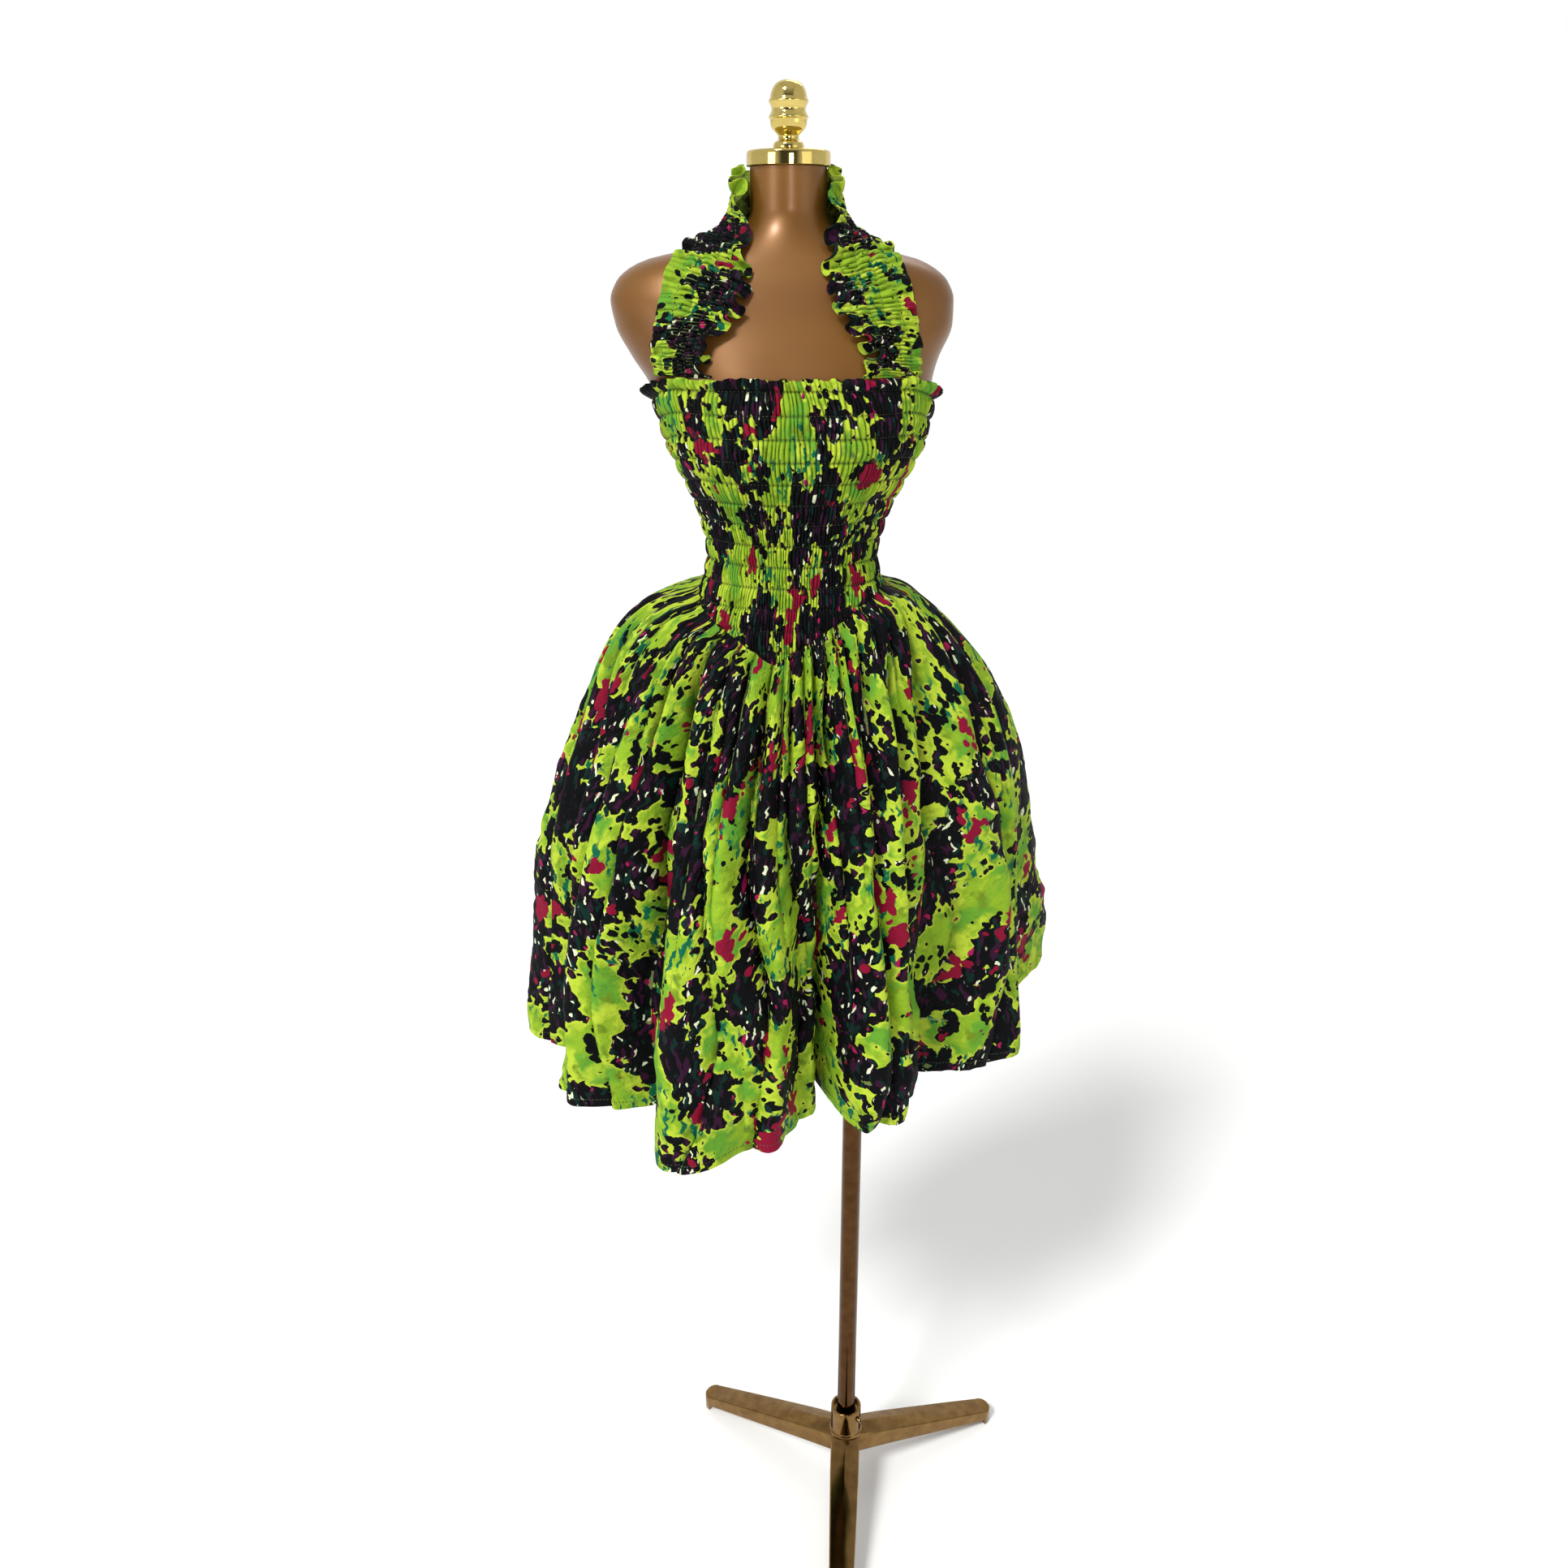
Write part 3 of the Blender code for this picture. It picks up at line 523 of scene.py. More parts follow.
skirtBell = (
    # degrees from the front, radius at the hem
    (-140.0, 0.265),
    (-96.0, 0.290),
    (-60.0, 0.250),
    (-20.0, 0.208),
    (20.0, 0.178),
    (60.0, 0.205),
    (90.0, 0.275),
    (120.0, 0.325),
    (160.0, 0.262),
    (190.0, 0.252),
)
hemFolds = (
    # degrees from the front, radius, height of the hem
    (-172.0, 0.275, 0.727),
    (-155.0, 0.205, 0.724),
    (-135.0, 0.290, 0.729),
    (-116.0, 0.228, 0.724),
    (-96.0, 0.333, 0.733),
    (-82.0, 0.235, 0.730),
    (-66.0, 0.290, 0.731),
    (-46.0, 0.165, 0.722),
    (-28.0, 0.291, 0.722),
    (-14.0, 0.215, 0.722),
    (-5.0, 0.208, 0.722),
    (4.0, 0.150, 0.724),
    (9.0, 0.144, 0.726),
    (17.0, 0.072, 0.740),
    (27.0, 0.196, 0.722),
    (37.0, 0.205, 0.722),
    (52.0, 0.176, 0.724),
    (70.0, 0.150, 0.726),
    (88.0, 0.284, 0.727),
    (102.0, 0.235, 0.740),
    (118.0, 0.388, 0.776),
    (137.0, 0.240, 0.742),
    (154.0, 0.295, 0.727),
    (171.0, 0.205, 0.724),
)
flareSide = (
    # share of the drop, share of the opening at the left, at the right
    (0.000, 0.000, 0.000),
    (0.021, 0.190, 0.140),
    (0.068, 0.420, 0.320),
    (0.135, 0.560, 0.500),
    (0.260, 0.700, 0.735),
    (0.460, 0.890, 0.910),
    (0.640, 0.950, 0.955),
    (1.000, 1.000, 1.000),
)
flareFront = (
    # share of the drop, share of the opening
    (0.00, 0.00),
    (0.04, 0.13),
    (0.14, 0.31),
    (0.30, 0.52),
    (0.50, 0.71),
    (0.75, 0.88),
    (1.00, 1.00),
)
skirt = {
    "columns": 520, "levels": 130, "levelPower": 1.35, "innerStep": (2, 2), "wall": 0.0008,
    "ease": 0.0030, "seamGap": 0.0004, "frontShare": 0.85, "foldStart": 0.02, "foldEnd": 1.15,
    "foldGain": 1.06, "troughSharpness": 0.70, "troughSoon": 0.35, "drawnIn": (-0.95, -0.50), "sway": 0.035,
    "creaseDepth": 0.0066, "creaseSize": 0.055, "crinkleDepth": 0.0022, "crinkleSize": 0.022,
    "patchSize": 0.16, "slot": "printed_cotton_skirt",
    "clearAbove": 1.1600, "clear": 0.0042, "hemStitch": 0.6,
}
# Ridges of uneven width round the waist: narrow tubes that fade early, over broad pleats. Pairs are the shares
# of the drop, or of a ridge's own reach, between which it grows or fades.
# The shade entries say how dark the valleys are painted, over what width, and where along the drop that
# painted shade grows and fades.
gathers = (
    {"count": 46, "seed": 2.0, "reach": (0.30, 1.00), "swayed": 0.6, "shape": 2.2, "depth": 0.0200,
     "sink": 0.35, "sinkMore": 0.25, "sinkBy": 0.06, "grow": (-0.02, 0.045), "fadeFrom": 0.25, "fade": 1.0,
     "shade": 0.8, "shadeWidth": 0.075, "shadeGrow": (-2.0, -1.0), "shadeFade": (0.2, 0.8)},
    {"count": 24, "seed": 5.0, "reach": (0.70, 1.30), "swayed": 1.0, "shape": 1.7, "depth": 0.0380,
     "sink": 0.62, "sinkMore": 0.23, "sinkBy": 0.000001, "grow": (0.02, 0.24), "fadeFrom": 0.5, "fade": 0.5,
     "shade": 1.0, "shadeWidth": 0.060, "shadeGrow": (0.02, 0.15), "shadeFade": (0.3, 0.8)},
)


def makeRidges(count, seed, shortest, longest):  # start, width, depth and reach of each
    widths = [max(0.4, 1.0 + 0.65 * noiseAt(index * 0.73, seed, 0.5) * 1.6) for index in range(count)]
    total = sum(widths)
    ridges, start = [], 0.0
    for index, width in enumerate(widths):
        spin = 0.5 + 0.5 * math.sin(12.9898 * (index + 1) + seed * 3.7)
        depth = 0.55 + 0.45 * math.sin(4.137 * (index + 1) + seed) ** 2
        ridges.append((start, width / total, depth, shortest + (longest - shortest) * spin))
        start += width / total
    return ridges


for gather in gathers:
    gather["ridges"] = makeRidges(gather["count"], gather["seed"], *gather["reach"])


def ridgesAt(angle, drop):  # for each gather, the share across its ridge here, and its depth and reach
    sway = skirt["sway"] * noiseAt(angle * 1.6, drop * 2.2, 7.0) * easeBetween(0.0, 0.5, drop)
    for gather in gathers:
        share = (angle / math.tau + sway * gather["swayed"]) % 1.0
        place = bisect_right(gather["ridges"], share, key=lambda ridge: ridge[0]) - 1
        start, width, depth, reach = gather["ridges"][place]
        yield gather, (share - start) / width, depth, reach


def gatherHeight(angle, drop):  # ridges stand out from the bell and the valleys between them sink into it
    drawnIn = easeBetween(*skirt["drawnIn"], math.cos(angle))  # closer to the body, except at the back
    height = 0.0
    for gather, across, depth, reach in ridgesAt(angle, drop):
        sink = (gather["sink"] + gather["sinkMore"] * drawnIn) * easeBetween(0.0, gather["sinkBy"], drop)
        rounded = 1.0 - abs(2.0 * across - 1.0) ** gather["shape"] - sink
        left = 1.0 - gather["fade"] * easeBetween(reach * gather["fadeFrom"], reach, drop)
        height += gather["depth"] * rounded * depth * (easeBetween(*gather["grow"], drop) * left)
    return height


# painted shade: how dark the print is painted along the valley between neighbouring gathered ridges
def gatherPaintedShade(angle, drop):
    paintedShade = 0.0
    for gather, across, depth, reach in ridgesAt(angle, drop):
        away = min(across, 1.0 - across) / gather["shadeWidth"]
        left = 1.0 - easeBetween(*(reach * share for share in gather["shadeFade"]), drop)
        grown = easeBetween(*gather["shadeGrow"], drop)
        paintedShade += gather["shade"] * math.exp(-away * away) * depth * grown * left
    return min(1.0, paintedShade)


def skirtColumn(angle):  # what the angle alone settles
    seam = seamHeight(angle) - skirt["seamGap"] / 2.0
    bell = readAround(skirtBell, angle, 1)
    return {
        "seam": seam, "hem": readAround(hemFolds, angle, 2), "bell": bell,
        "waist": formRadius(seam, angle) + skirt["ease"],
        "fold": readAround(hemFolds, angle, 1, skirt["troughSharpness"]) - bell,
        "front": skirt["frontShare"] * max(0.0, math.cos(angle)) ** 2,
        "flare": 1 if math.sin(angle) < 0.0 else 2,
    }


def skirtPoint(angle, drop, known):
    inFront, atSide = readTable(flareFront, drop, 1), readTable(flareSide, drop, known["flare"])
    opened = atSide + (inFront - atSide) * known["front"]
    radius = known["waist"] + (known["bell"] - known["waist"]) * opened
    if known["fold"] > 0.0:
        radius += known["fold"] * skirt["foldGain"] * easeBetween(skirt["foldStart"], skirt["foldEnd"], drop)
    else:  # troughs deepen sooner than ridges rise
        soon = skirt["troughSoon"]
        early, late = easeBetween(0.0, 0.25, drop), easeBetween(0.1, 1.0, drop)
        radius += known["fold"] * (soon * early + (1.0 - soon) * late)
    radius += gatherHeight(angle, drop)
    height = known["seam"] + (known["hem"] - known["seam"]) * drop
    if height > skirt["clearAbove"]:
        radius = max(radius, formRadius(height, angle) + skirt["clear"])
    return pointAt(angle, radius, height)


def creaseHeight(place, drop):
    x, y = place
    size, fine, patchy = skirt["creaseSize"], skirt["crinkleSize"], skirt["patchSize"]
    ridge = 1.0 - 2.2 * abs(noiseAt((x + 0.45 * y) / size, (y - 0.2 * x) / (1.9 * size), 1.0))
    crinkle = 1.0 - 2.0 * abs(noiseAt(x / fine, y / fine, 4.0))
    patch = easeBetween(-0.25, 0.45, noiseAt(x / patchy, y / patchy, 9.0))
    grown = easeBetween(0.08, 0.45, drop)
    return (skirt["creaseDepth"] * ridge + skirt["crinkleDepth"] * crinkle) * grown * (0.35 + 0.65 * patch)


def makeSkirt(name, node, start, end, seed):
    angles = [start + (end - start) * column / skirt["columns"] for column in range(skirt["columns"] + 1)]
    known = [skirtColumn(angle) for angle in angles]
    drops = [(level / skirt["levels"]) ** skirt["levelPower"] for level in range(skirt["levels"] + 1)]
    smooth = [[skirtPoint(angle, drop, facts) for angle, facts in zip(angles, known)] for drop in drops]
    flat = gatheredPlaces(smooth, seed)
    outer = []
    for level, row in enumerate(smooth):
        outer.append([])
        for column, point in enumerate(row):
            fromSeam = easeBetween(0.0, 6.0, min(column, skirt["columns"] - column))
            raised = creaseHeight(flat[level][column], drops[level]) * fromSeam
            outer[-1].append(point + gridNormal(smooth, level, column) * raised)

    def insidePoint(level, column):
        return outer[level][column] - gridNormal(outer, level, column) * skirt["wall"]

    paintedShade = [[gatherPaintedShade(angle, drop) for angle in angles] for drop in drops]
    hemLine = [low.lerp(high, skirt["hemStitch"]) for low, high in zip(outer[-2], outer[-3])]
    hemNormals = [gridNormal(outer, len(outer) - 3, column) for column in range(len(hemLine))]
    sewRows(name + "HemStitches", [(hemLine, hemNormals)], skirt["slot"])
    return clothWall(name, node, skirt, outer, flat, paintedShade, insidePoint)


# Straps: shirred bands with a frill along each edge, meeting behind the neck

strapBase = 1.5486
strapEdges = (
    # outer edge x, y, z, inner edge x, y, z
    (0.1340, -0.0620, strapBase, 0.0740, -0.0980, strapBase),
    (0.1310, -0.0620, 1.5770, 0.0800, -0.0970, 1.5770),
    (0.1250, -0.0560, 1.6090, 0.0520, -0.0920, 1.6070),
    (0.1130, -0.0380, 1.6560, 0.0400, -0.0760, 1.6390),
    (0.0940, -0.0100, 1.6765, 0.0420, -0.0490, 1.6840),
    (0.0600, 0.0430, 1.6690, 0.0490, -0.0110, 1.7380),
    (0.0430, 0.0570, 1.6780, 0.0400, 0.0350, 1.7450),
    (0.0003, 0.0650, 1.6780, 0.0003, 0.0550, 1.7450),
)
strap = {
    "stations": 460, "across": 40, "shift": -0.0030, "lift": 0.0030, "clear": 0.0024, "wall": 0.0008,
    "frillDepth": (0.0048, 0.0085), "frillLean": (0.0016, 0.0030), "frillSpread": (0.0012, 0.0042),
    "frillFrom": 0.35, "frills": (14, 12), "tucks": 60, "tuckDepth": 0.0042, "tuckInFrill": 0.75, "rows": 4,
    "tuckShade": 0.95, "gatherRatio": 1.7, "seamGap": 0.0004, "endStations": 14.0, "innerStep": (2, 2),
    "slot": "printed_cotton_strap",
}


def strapEdge(share, first):
    rows = [Vector(row[first:first + 3]) for row in strapEdges]
    place = share * (len(rows) - 1)
    index = min(int(place), len(rows) - 2)
    start, end = rows[index], rows[index + 1]
    before, after = rows[max(index - 1, 0)], rows[min(index + 2, len(rows) - 1)]
    return curveBetween(start, end, (end - before) / 2.0, (after - start) / 2.0, place - index)


def clearOf(tree, point, least):
    for attempt in range(3):
        spot, normal, index, distance = tree.find_nearest(point)
        if (point - spot).dot(normal) > 0.0 and distance >= least:
            return point
        point = spot + normal * (least + 0.0001)
    return point


def frillShape(share, across, seed):  # how far a frill stands out, leans along the strap and spreads sideways
    edge = 2.0 * across - 1.0
    which = 1 if edge > 0.0 else 0
    sideSeed = seed + 3.0 * which
    turn = math.tau * (strap["frills"][which] * share + 0.8 * noiseAt(share * 7.0, sideSeed, 2.0))
    uneven = max(0.15, 0.75 + noiseAt(share * 11.0, sideSeed, 6.0))
    full = easeBetween(strap["frillFrom"], 1.0, abs(edge)) * uneven
    depth, lean, spread = [strap[key][which] * full for key in ("frillDepth", "frillLean", "frillSpread")]
    outward = spread * math.cos(turn + 0.9) * (1.0 if which else -1.0)
    return depth * math.sin(turn), -lean * math.sin(2.0 * turn), outward


# Its second value is painted shade: how dark the print is painted between the tucks, less in the frills.
def tuckShape(share, across, seed):  # a tuck's height, and how deep in shade it lies
    band = across * (strap["rows"] + 1)
    row = math.floor(band)
    bulge = math.sin(math.pi * (band - row)) ** 0.6
    drift = 0.9 * noiseAt(share * 13.0, band * 0.5, seed)
    jump = 0.5 * noiseAt(share * 40.0, row * 5.1, seed + 2.0)
    ridge = abs(math.sin(math.pi * (share * strap["tucks"] + drift + jump * bulge))) ** 0.7
    inFrill = easeBetween(strap["frillFrom"], 0.85, abs(2.0 * across - 1.0))
    height = strap["tuckDepth"] * ridge * (0.25 + 0.75 * bulge) * (1.0 - strap["tuckInFrill"] * inFrill)
    return height, strap["tuckShade"] * (1.0 - ridge) ** 1.6 * (1.0 - 0.5 * inFrill)


def makeStrap(name, node, hand, tree, seed):
    last, steps = strap["stations"], strap["across"]
    smooth = []
    for station in range(last + 1):
        edges = [strapEdge(station / last, first) for first in (0, 3)]
        smooth.append([])
        for step in range(steps + 1):
            point = edges[0].lerp(edges[1], step / steps)
            point.x = strap["shift"] + hand * point.x
            smooth[-1].append(clearOf(tree, point + formAxis, strap["lift"]))
    flat = stripPlaces(smooth, seed, strap["gatherRatio"])
    outer, paintedShade = [], []
    for station, row in enumerate(smooth):
        endFade = easeBetween(0.0, strap["endStations"], min(station, last - station))
        edgeways = (row[-1] - row[0]).normalized()
        outer.append([])
        paintedShade.append([])
        for step, point in enumerate(row):
            stands, leans, spreads = frillShape(station / last, step / steps, seed)
            tucked, tuckPaintedShade = tuckShape(station / last, step / steps, seed)
            normal = gridNormal(smooth, station, step) * hand
            along = (smooth[min(station + 1, last)][step] - smooth[max(station - 1, 0)][step]).normalized()
            moved = (normal * (stands + tucked) + along * leans + edgeways * spreads) * endFade
            point = clearOf(tree, point + moved, strap["clear"])
            if station == 0:
                point.z = strapBase
            if station == last:
                point.x = formAxis.x + strap["shift"] + hand * strap["seamGap"] / 2.0
            outer[-1].append(point)
            paintedShade[-1].append(tuckPaintedShade)

    def insidePoint(station, step):
        point = outer[station][step] - gridNormal(outer, station, step) * hand * strap["wall"]
        if station == 0:
            point.z = strapBase
        if station == last:
            point.x = outer[last][0].x
        return point

    rows = []
    for number in range(1, strap["rows"] + 1):
        step = round(steps * number / (strap["rows"] + 1))
        normals = [gridNormal(outer, station, step) * hand for station in range(last + 1)]
        rows.append(([row[step] for row in outer], normals))
    sewRows(name + "Stitches", rows, strap["slot"])
    return clothWall(name, node, strap, outer, flat, paintedShade, insidePoint)


# Finishes


def hexColour(code):  # an sRGB hex value as linear light
    parts = [int(code[i:i + 2], 16) / 255.0 for i in (1, 3, 5)]
    return (*[p / 12.92 if p <= 0.04045 else ((p + 0.055) / 1.055) ** 2.4 for p in parts], 1.0)


def feed(node, values=None, links=None):
    for key, value in (values or {}).items():
        node.inputs[key].default_value = value
    for key, socket in (links or {}).items():
        node.id_data.links.new(socket, node.inputs[key])


def addNode(tree, kind, values=None, links=None, out=0, **settings):  # returns the output that is asked for
    made = tree.nodes.new("ShaderNode" + kind)
    for key, value in settings.items():
        setattr(made, key, value)
    feed(made, values, links)
    return made.outputs[out]


def newFinish(name):
    made = bpy.data.materials.new(name)
    made.use_nodes = True
    return made, made.node_tree, made.node_tree.nodes["Principled BSDF"]


# the near-black green tone in this table is painted shade, multiplied into the print where tight folds sink
printed = {
    "lime": "#83A526", "yellow": "#ABC036", "leaf": "#5C942C", "olive": "#6A841E", "pale": "#D2DAB6",
    "valleyPaintedShade": "#1A210D", "ink": "#060709", "plum": "#30102A", "pine": "#082620", "teal": "#0C5C40",
    "crimson": "#7E0F2C", "rose": "#9A184E", "wrongSide": "#8FA55E", "fade": 0.45,
    "raggedSize": 0.0080, "raggedReach": 0.0050, "lobeSize": 0.0120, "threadSpacing": 0.0006,
    "crumpleScale": 90.0, "crumpleDepth": 0.0032, "threadDepth": 0.00006,
}
printFields = (
    # name, size in metres, shift, turn, stretch, detail, roughness, share of lobes, none below, full above
    ("shade", 0.055, 8.3, 0.0, 1.0, 3.0, 0.50, 0.0, 0.46, 0.62),
    ("bright", 0.038, 5.7, 0.6, 1.4, 3.0, 0.55, 0.0, 0.53, 0.68),
    ("mottle", 0.020, 1.9, 0.0, 1.0, 2.0, 0.50, 0.0, 0.56, 0.74),
    ("halo", 0.076, 3.1, 0.3, 1.2, 3.0, 0.50, -0.10, 0.385, 0.445),
    ("ink", 0.076, 3.1, 0.3, 1.2, 3.0, 0.50, -0.15, 0.436, 0.441),
    ("drops", 0.034, 4.4, 0.9, 1.5, 1.0, 0.50, -0.32, 0.505, 0.511),
    ("crimson", 0.058, 9.4, 1.1, 1.2, 2.0, 0.50, -0.13, 0.622, 0.627),
    ("strokes", 0.0080, 6.2, 0.5, 2.6, 2.0, 0.50, 0.0, 0.56, 0.61),
    ("strokeCluster", 0.080, 2.2, 0.0, 1.0, 1.0, 0.50, 0.0, 0.52, 0.58),
    ("veins", 0.0085, 7.7, 1.0, 2.8, 2.0, 0.50, 0.0, 0.58, 0.64),
    ("shoots", 0.0090, 12.1, 2.1, 2.6, 2.0, 0.50, 0.0, 0.60, 0.66),
    ("flecks", 0.0052, 14.6, 0.9, 2.2, 0.0, 0.50, 0.0, 0.75, 0.76),
    ("fleckCluster", 0.060, 15.5, 0.0, 1.0, 1.0, 0.50, 0.0, 0.50, 0.53),
    ("touches", 0.0150, 18.9, 0.4, 1.8, 1.0, 0.50, 0.0, 0.755, 0.765),
)
printLayers = (
    # colour, over the last where all of these fields are
    ("leaf", "shade"),
    ("yellow", "bright"),
    ("olive", "mottle"),
    ("yellow", "halo"),
    ("teal", "strokes", "strokeCluster"),
    ("ink", "drops"),
    ("ink", "ink"),
    ("plum", "ink", "veins"),
    ("pine", "ink", "shoots"),
    ("rose", "ink", "touches"),
    ("pale", "ink", "flecks", "fleckCluster"),
    ("crimson", "crimson"),
)


# Printed cotton poplin: dye sits flat in a fine plain weave, so it is matt, with only a trace of shine.
# An abstract brushed print: lobed ink patches and crimson blots over a mottled lime ground.
def printedCotton(name, wrongSide):
    made, tree, shader = newFinish(name)
    cloth = addNode(tree, "UVMap", uv_map="cloth")
    rough = addNode(tree, "TexNoise", {"Scale": 1.0 / printed["raggedSize"], "Detail": 2.0}, {"Vector": cloth},
                    "Color", noise_dimensions="2D")
    centred = addNode(tree, "VectorMath", {1: (0.5, 0.5, 0.5)}, {0: rough}, operation="SUBTRACT")
    ragged = addNode(tree, "VectorMath", {1: (printed["raggedReach"],) * 3}, {0: centred, 2: cloth},
                     operation="MULTIPLY_ADD")
    lobes = addNode(tree, "TexVoronoi", {"Scale": 1.0 / printed["lobeSize"]}, {"Vector": ragged},
                    voronoi_dimensions="2D")
    masks = {}
    for field, size, shift, turn, stretch, detail, roughness, lobeShare, low, high in printFields:
        moves = {"Location": (shift, shift * 0.7, 0.0), "Rotation": (0.0, 0.0, turn),
                 "Scale": (1.0, 1.0 / stretch, 1.0)}
        moved = addNode(tree, "Mapping", moves, {"Vector": ragged})
        value = addNode(tree, "TexNoise", {"Scale": 1.0 / size, "Detail": detail, "Roughness": roughness},
                        {"Vector": moved}, noise_dimensions="2D")
        if lobeShare:
            value = addNode(tree, "Math", {1: lobeShare}, {0: lobes, 2: value}, operation="MULTIPLY_ADD")
        masks[field] = addNode(tree, "MapRange", {"From Min": low, "From Max": high}, {"Value": value},
                               interpolation_type="SMOOTHSTEP")
    colour = None
    for dye, *fields in printLayers:
        mask = masks[fields[0]]
        for field in fields[1:]:
            mask = addNode(tree, "Math", None, {0: mask, 1: masks[field]}, operation="MULTIPLY")
        links = {"Factor": mask, 6: colour} if colour else {"Factor": mask}
        colour = addNode(tree, "Mix", {6: hexColour(printed["lime"]), 7: hexColour(printed[dye])}, links, 2,
                         data_type="RGBA")
    if wrongSide:  # dye shows through the wrong side paler and greener
        colour = addNode(tree, "Mix", {0: printed["fade"], 7: hexColour(printed["wrongSide"])}, {6: colour}, 2,
                         data_type="RGBA")
    # painted shade: tight folds run deeper than the panel is modelled, so the print is multiplied towards a
    # dark tone at their bottoms, as far as each point's painted-shade value says
    paintedShade = addNode(tree, "Attribute", None, None, "Fac", attribute_name="paintedShade")
    colour = addNode(tree, "Mix", {7: hexColour(printed["valleyPaintedShade"])}, {"Factor": paintedShade, 6: colour}, 2,
                     data_type="RGBA", blend_type="MULTIPLY")
    # threads drawn at 0.6 mm, about twice as coarse as poplin's, so that they show
    threads = {}
    for index, direction in enumerate(("X", "Y")):
        coarse = {"Scale": 0.314 / printed["threadSpacing"], "Distortion": 0.4}
        threads[index] = addNode(tree, "TexWave", coarse, {"Vector": cloth}, "Fac", bands_direction=direction)
    weave = addNode(tree, "Math", None, threads, operation="ADD")
    soft = addNode(tree, "TexNoise", {"Scale": printed["crumpleScale"], "Detail": 4.0, "Roughness": 0.6},
                   {"Vector": cloth}, noise_dimensions="2D")
    crumple = addNode(tree, "Bump", {"Strength": 0.9, "Distance": printed["crumpleDepth"]}, {"Height": soft})
    bump = addNode(tree, "Bump", {"Strength": 0.25, "Distance": printed["threadDepth"]},
                   {"Height": weave, "Normal": crumple})
    feed(shader, {"Roughness": 0.62, "Specular IOR Level": 0.07}, {"Base Color": colour, "Normal": bump})
    return made


# Finishes whose tone and gloss drift with soft noise
driftingLooks = {
    # noise scale and detail, dark and light tone, where they start and end, the gloss's own noise scale and
    # detail, roughness from and to, metallic
    # dark polyester sewing thread, twisted, slightly glossy
    "twistedPolyesterThread": (900.0, 2.0, "#1A2412", "#3E4E1E", 0.0, 1.0, None, None, 0.5, 0.5, 0.0),
    # moulded plastic with a sprayed pearl bronze coat: satin, with fine flakes and soft broad highlights
    "pearlBronzePlastic": (9.0, 2.0, "#6C4414", "#7A5019", 0.35, 0.70, 1400.0, 1.0, 0.34, 0.44, 0.40),
    # bright plate on turned metal, with the faintest haze of handling; the pole's copy is the reddest and
    # darkest, its darkness being painted shade for the dark surroundings that the pole's middle reflects
    "goldPlateMirror": (70.0, 4.0, "#CDB564", "#DCC676", 0.3, 0.7, None, None, 0.06, 0.102, 1.0),
    "antiqueBronzePlate": (70.0, 4.0, "#745632", "#8C6E42", 0.3, 0.7, None, None, 0.10, 0.170, 1.0),
    "bronzePlatePaintedDarker": (70.0, 4.0, "#4A311B", "#5A3E24", 0.3, 0.7, None, None, 0.08, 0.136, 1.0),
}


def driftingFinish(name):
    scale, detail, *tones, fineScale, fineDetail, smooth, rough, metallic = driftingLooks[name]
    made, tree, shader = newFinish(name)
    place = addNode(tree, "TexCoord", None, None, "Object")
    fine = broad = addNode(tree, "TexNoise", {"Scale": scale, "Detail": detail}, {"Vector": place})
    tone = addNode(tree, "ValToRGB", None, {"Fac": broad})
    for stop, code, position in zip(tone.node.color_ramp.elements, tones[:2], tones[2:]):
        stop.position = position
        stop.color = hexColour(code)
    if fineScale:
        fine = addNode(tree, "TexNoise", {"Scale": fineScale, "Detail": fineDetail}, {"Vector": place})
        bump = addNode(tree, "Bump", {"Strength": 0.06, "Distance": 0.0002}, {"Height": fine})
        feed(shader, {"Coat Weight": 0.18, "Coat Roughness": 0.20}, {"Normal": bump})
    feed(shader, {"Roughness": smooth, "Metallic": metallic}, {"Base Color": tone})
    if smooth < rough:
        gloss = addNode(tree, "MapRange", {"To Min": smooth, "To Max": rough}, {"Value": fine})
        feed(shader, None, {"Roughness": gloss})
    return made


cottonFace = printedCotton("printedCottonFace", False)
cottonBack = printedCotton("printedCottonBack", True)
thread, bronzePlastic, goldPlate, bronzePlate, polePlatePaintedDarker = [driftingFinish(name) for name in driftingLooks]


def settle(piece, finish, slotName, *nodes):
    if finish:
        piece.data.materials.clear()
        piece.data.materials.append(finish)
    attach(piece, "root")
    if nodes:
        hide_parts(*nodes)
    return piece


# Form


def makeForm():
    heights = []
    for upper, lower in zip(formSections, formSections[1:]):
        count = max(1, math.ceil((upper[0] - lower[0]) / form["levelGap"]))
        heights += [upper[0] + (lower[0] - upper[0]) * part / count for part in range(count)]
    rings = []
    for height in heights + [formSections[-1][0]]:
        section = sectionAt(height)
        rings.append([])
        for step in range(form["steps"]):
            turn = math.tau * step / form["steps"]
            angle = math.atan2(section[0] * math.sin(turn), section[1] * math.cos(turn))
            rings[-1].append(pointAt(angle, radiusIn(section, angle), height))
    return loftRings("formTorso", rings)


formTorso = makeForm()
formTree = BVHTree.FromPolygons([vertex.co.copy() for vertex in formTorso.data.vertices],
                                [tuple(face.vertices) for face in formTorso.data.polygons])
socketMiddle = (*poleMiddle, form["socketTop"] - form["socketDepth"] / 2.0)
bpy.ops.mesh.primitive_cylinder_add(vertices=48, radius=form["socketRadius"], depth=form["socketDepth"],
                                    location=socketMiddle)
socket = bpy.context.object
applyModifier(formTorso, "BOOLEAN", operation="DIFFERENCE", object=socket)
bpy.data.objects.remove(socket)
shadeSmooth(formTorso, 40.0)
settle(formTorso, bronzePlastic, "bronze_plastic", "torso")
print("form made")

# Turned pieces: one point is extruded along half an outline, which is then spun round


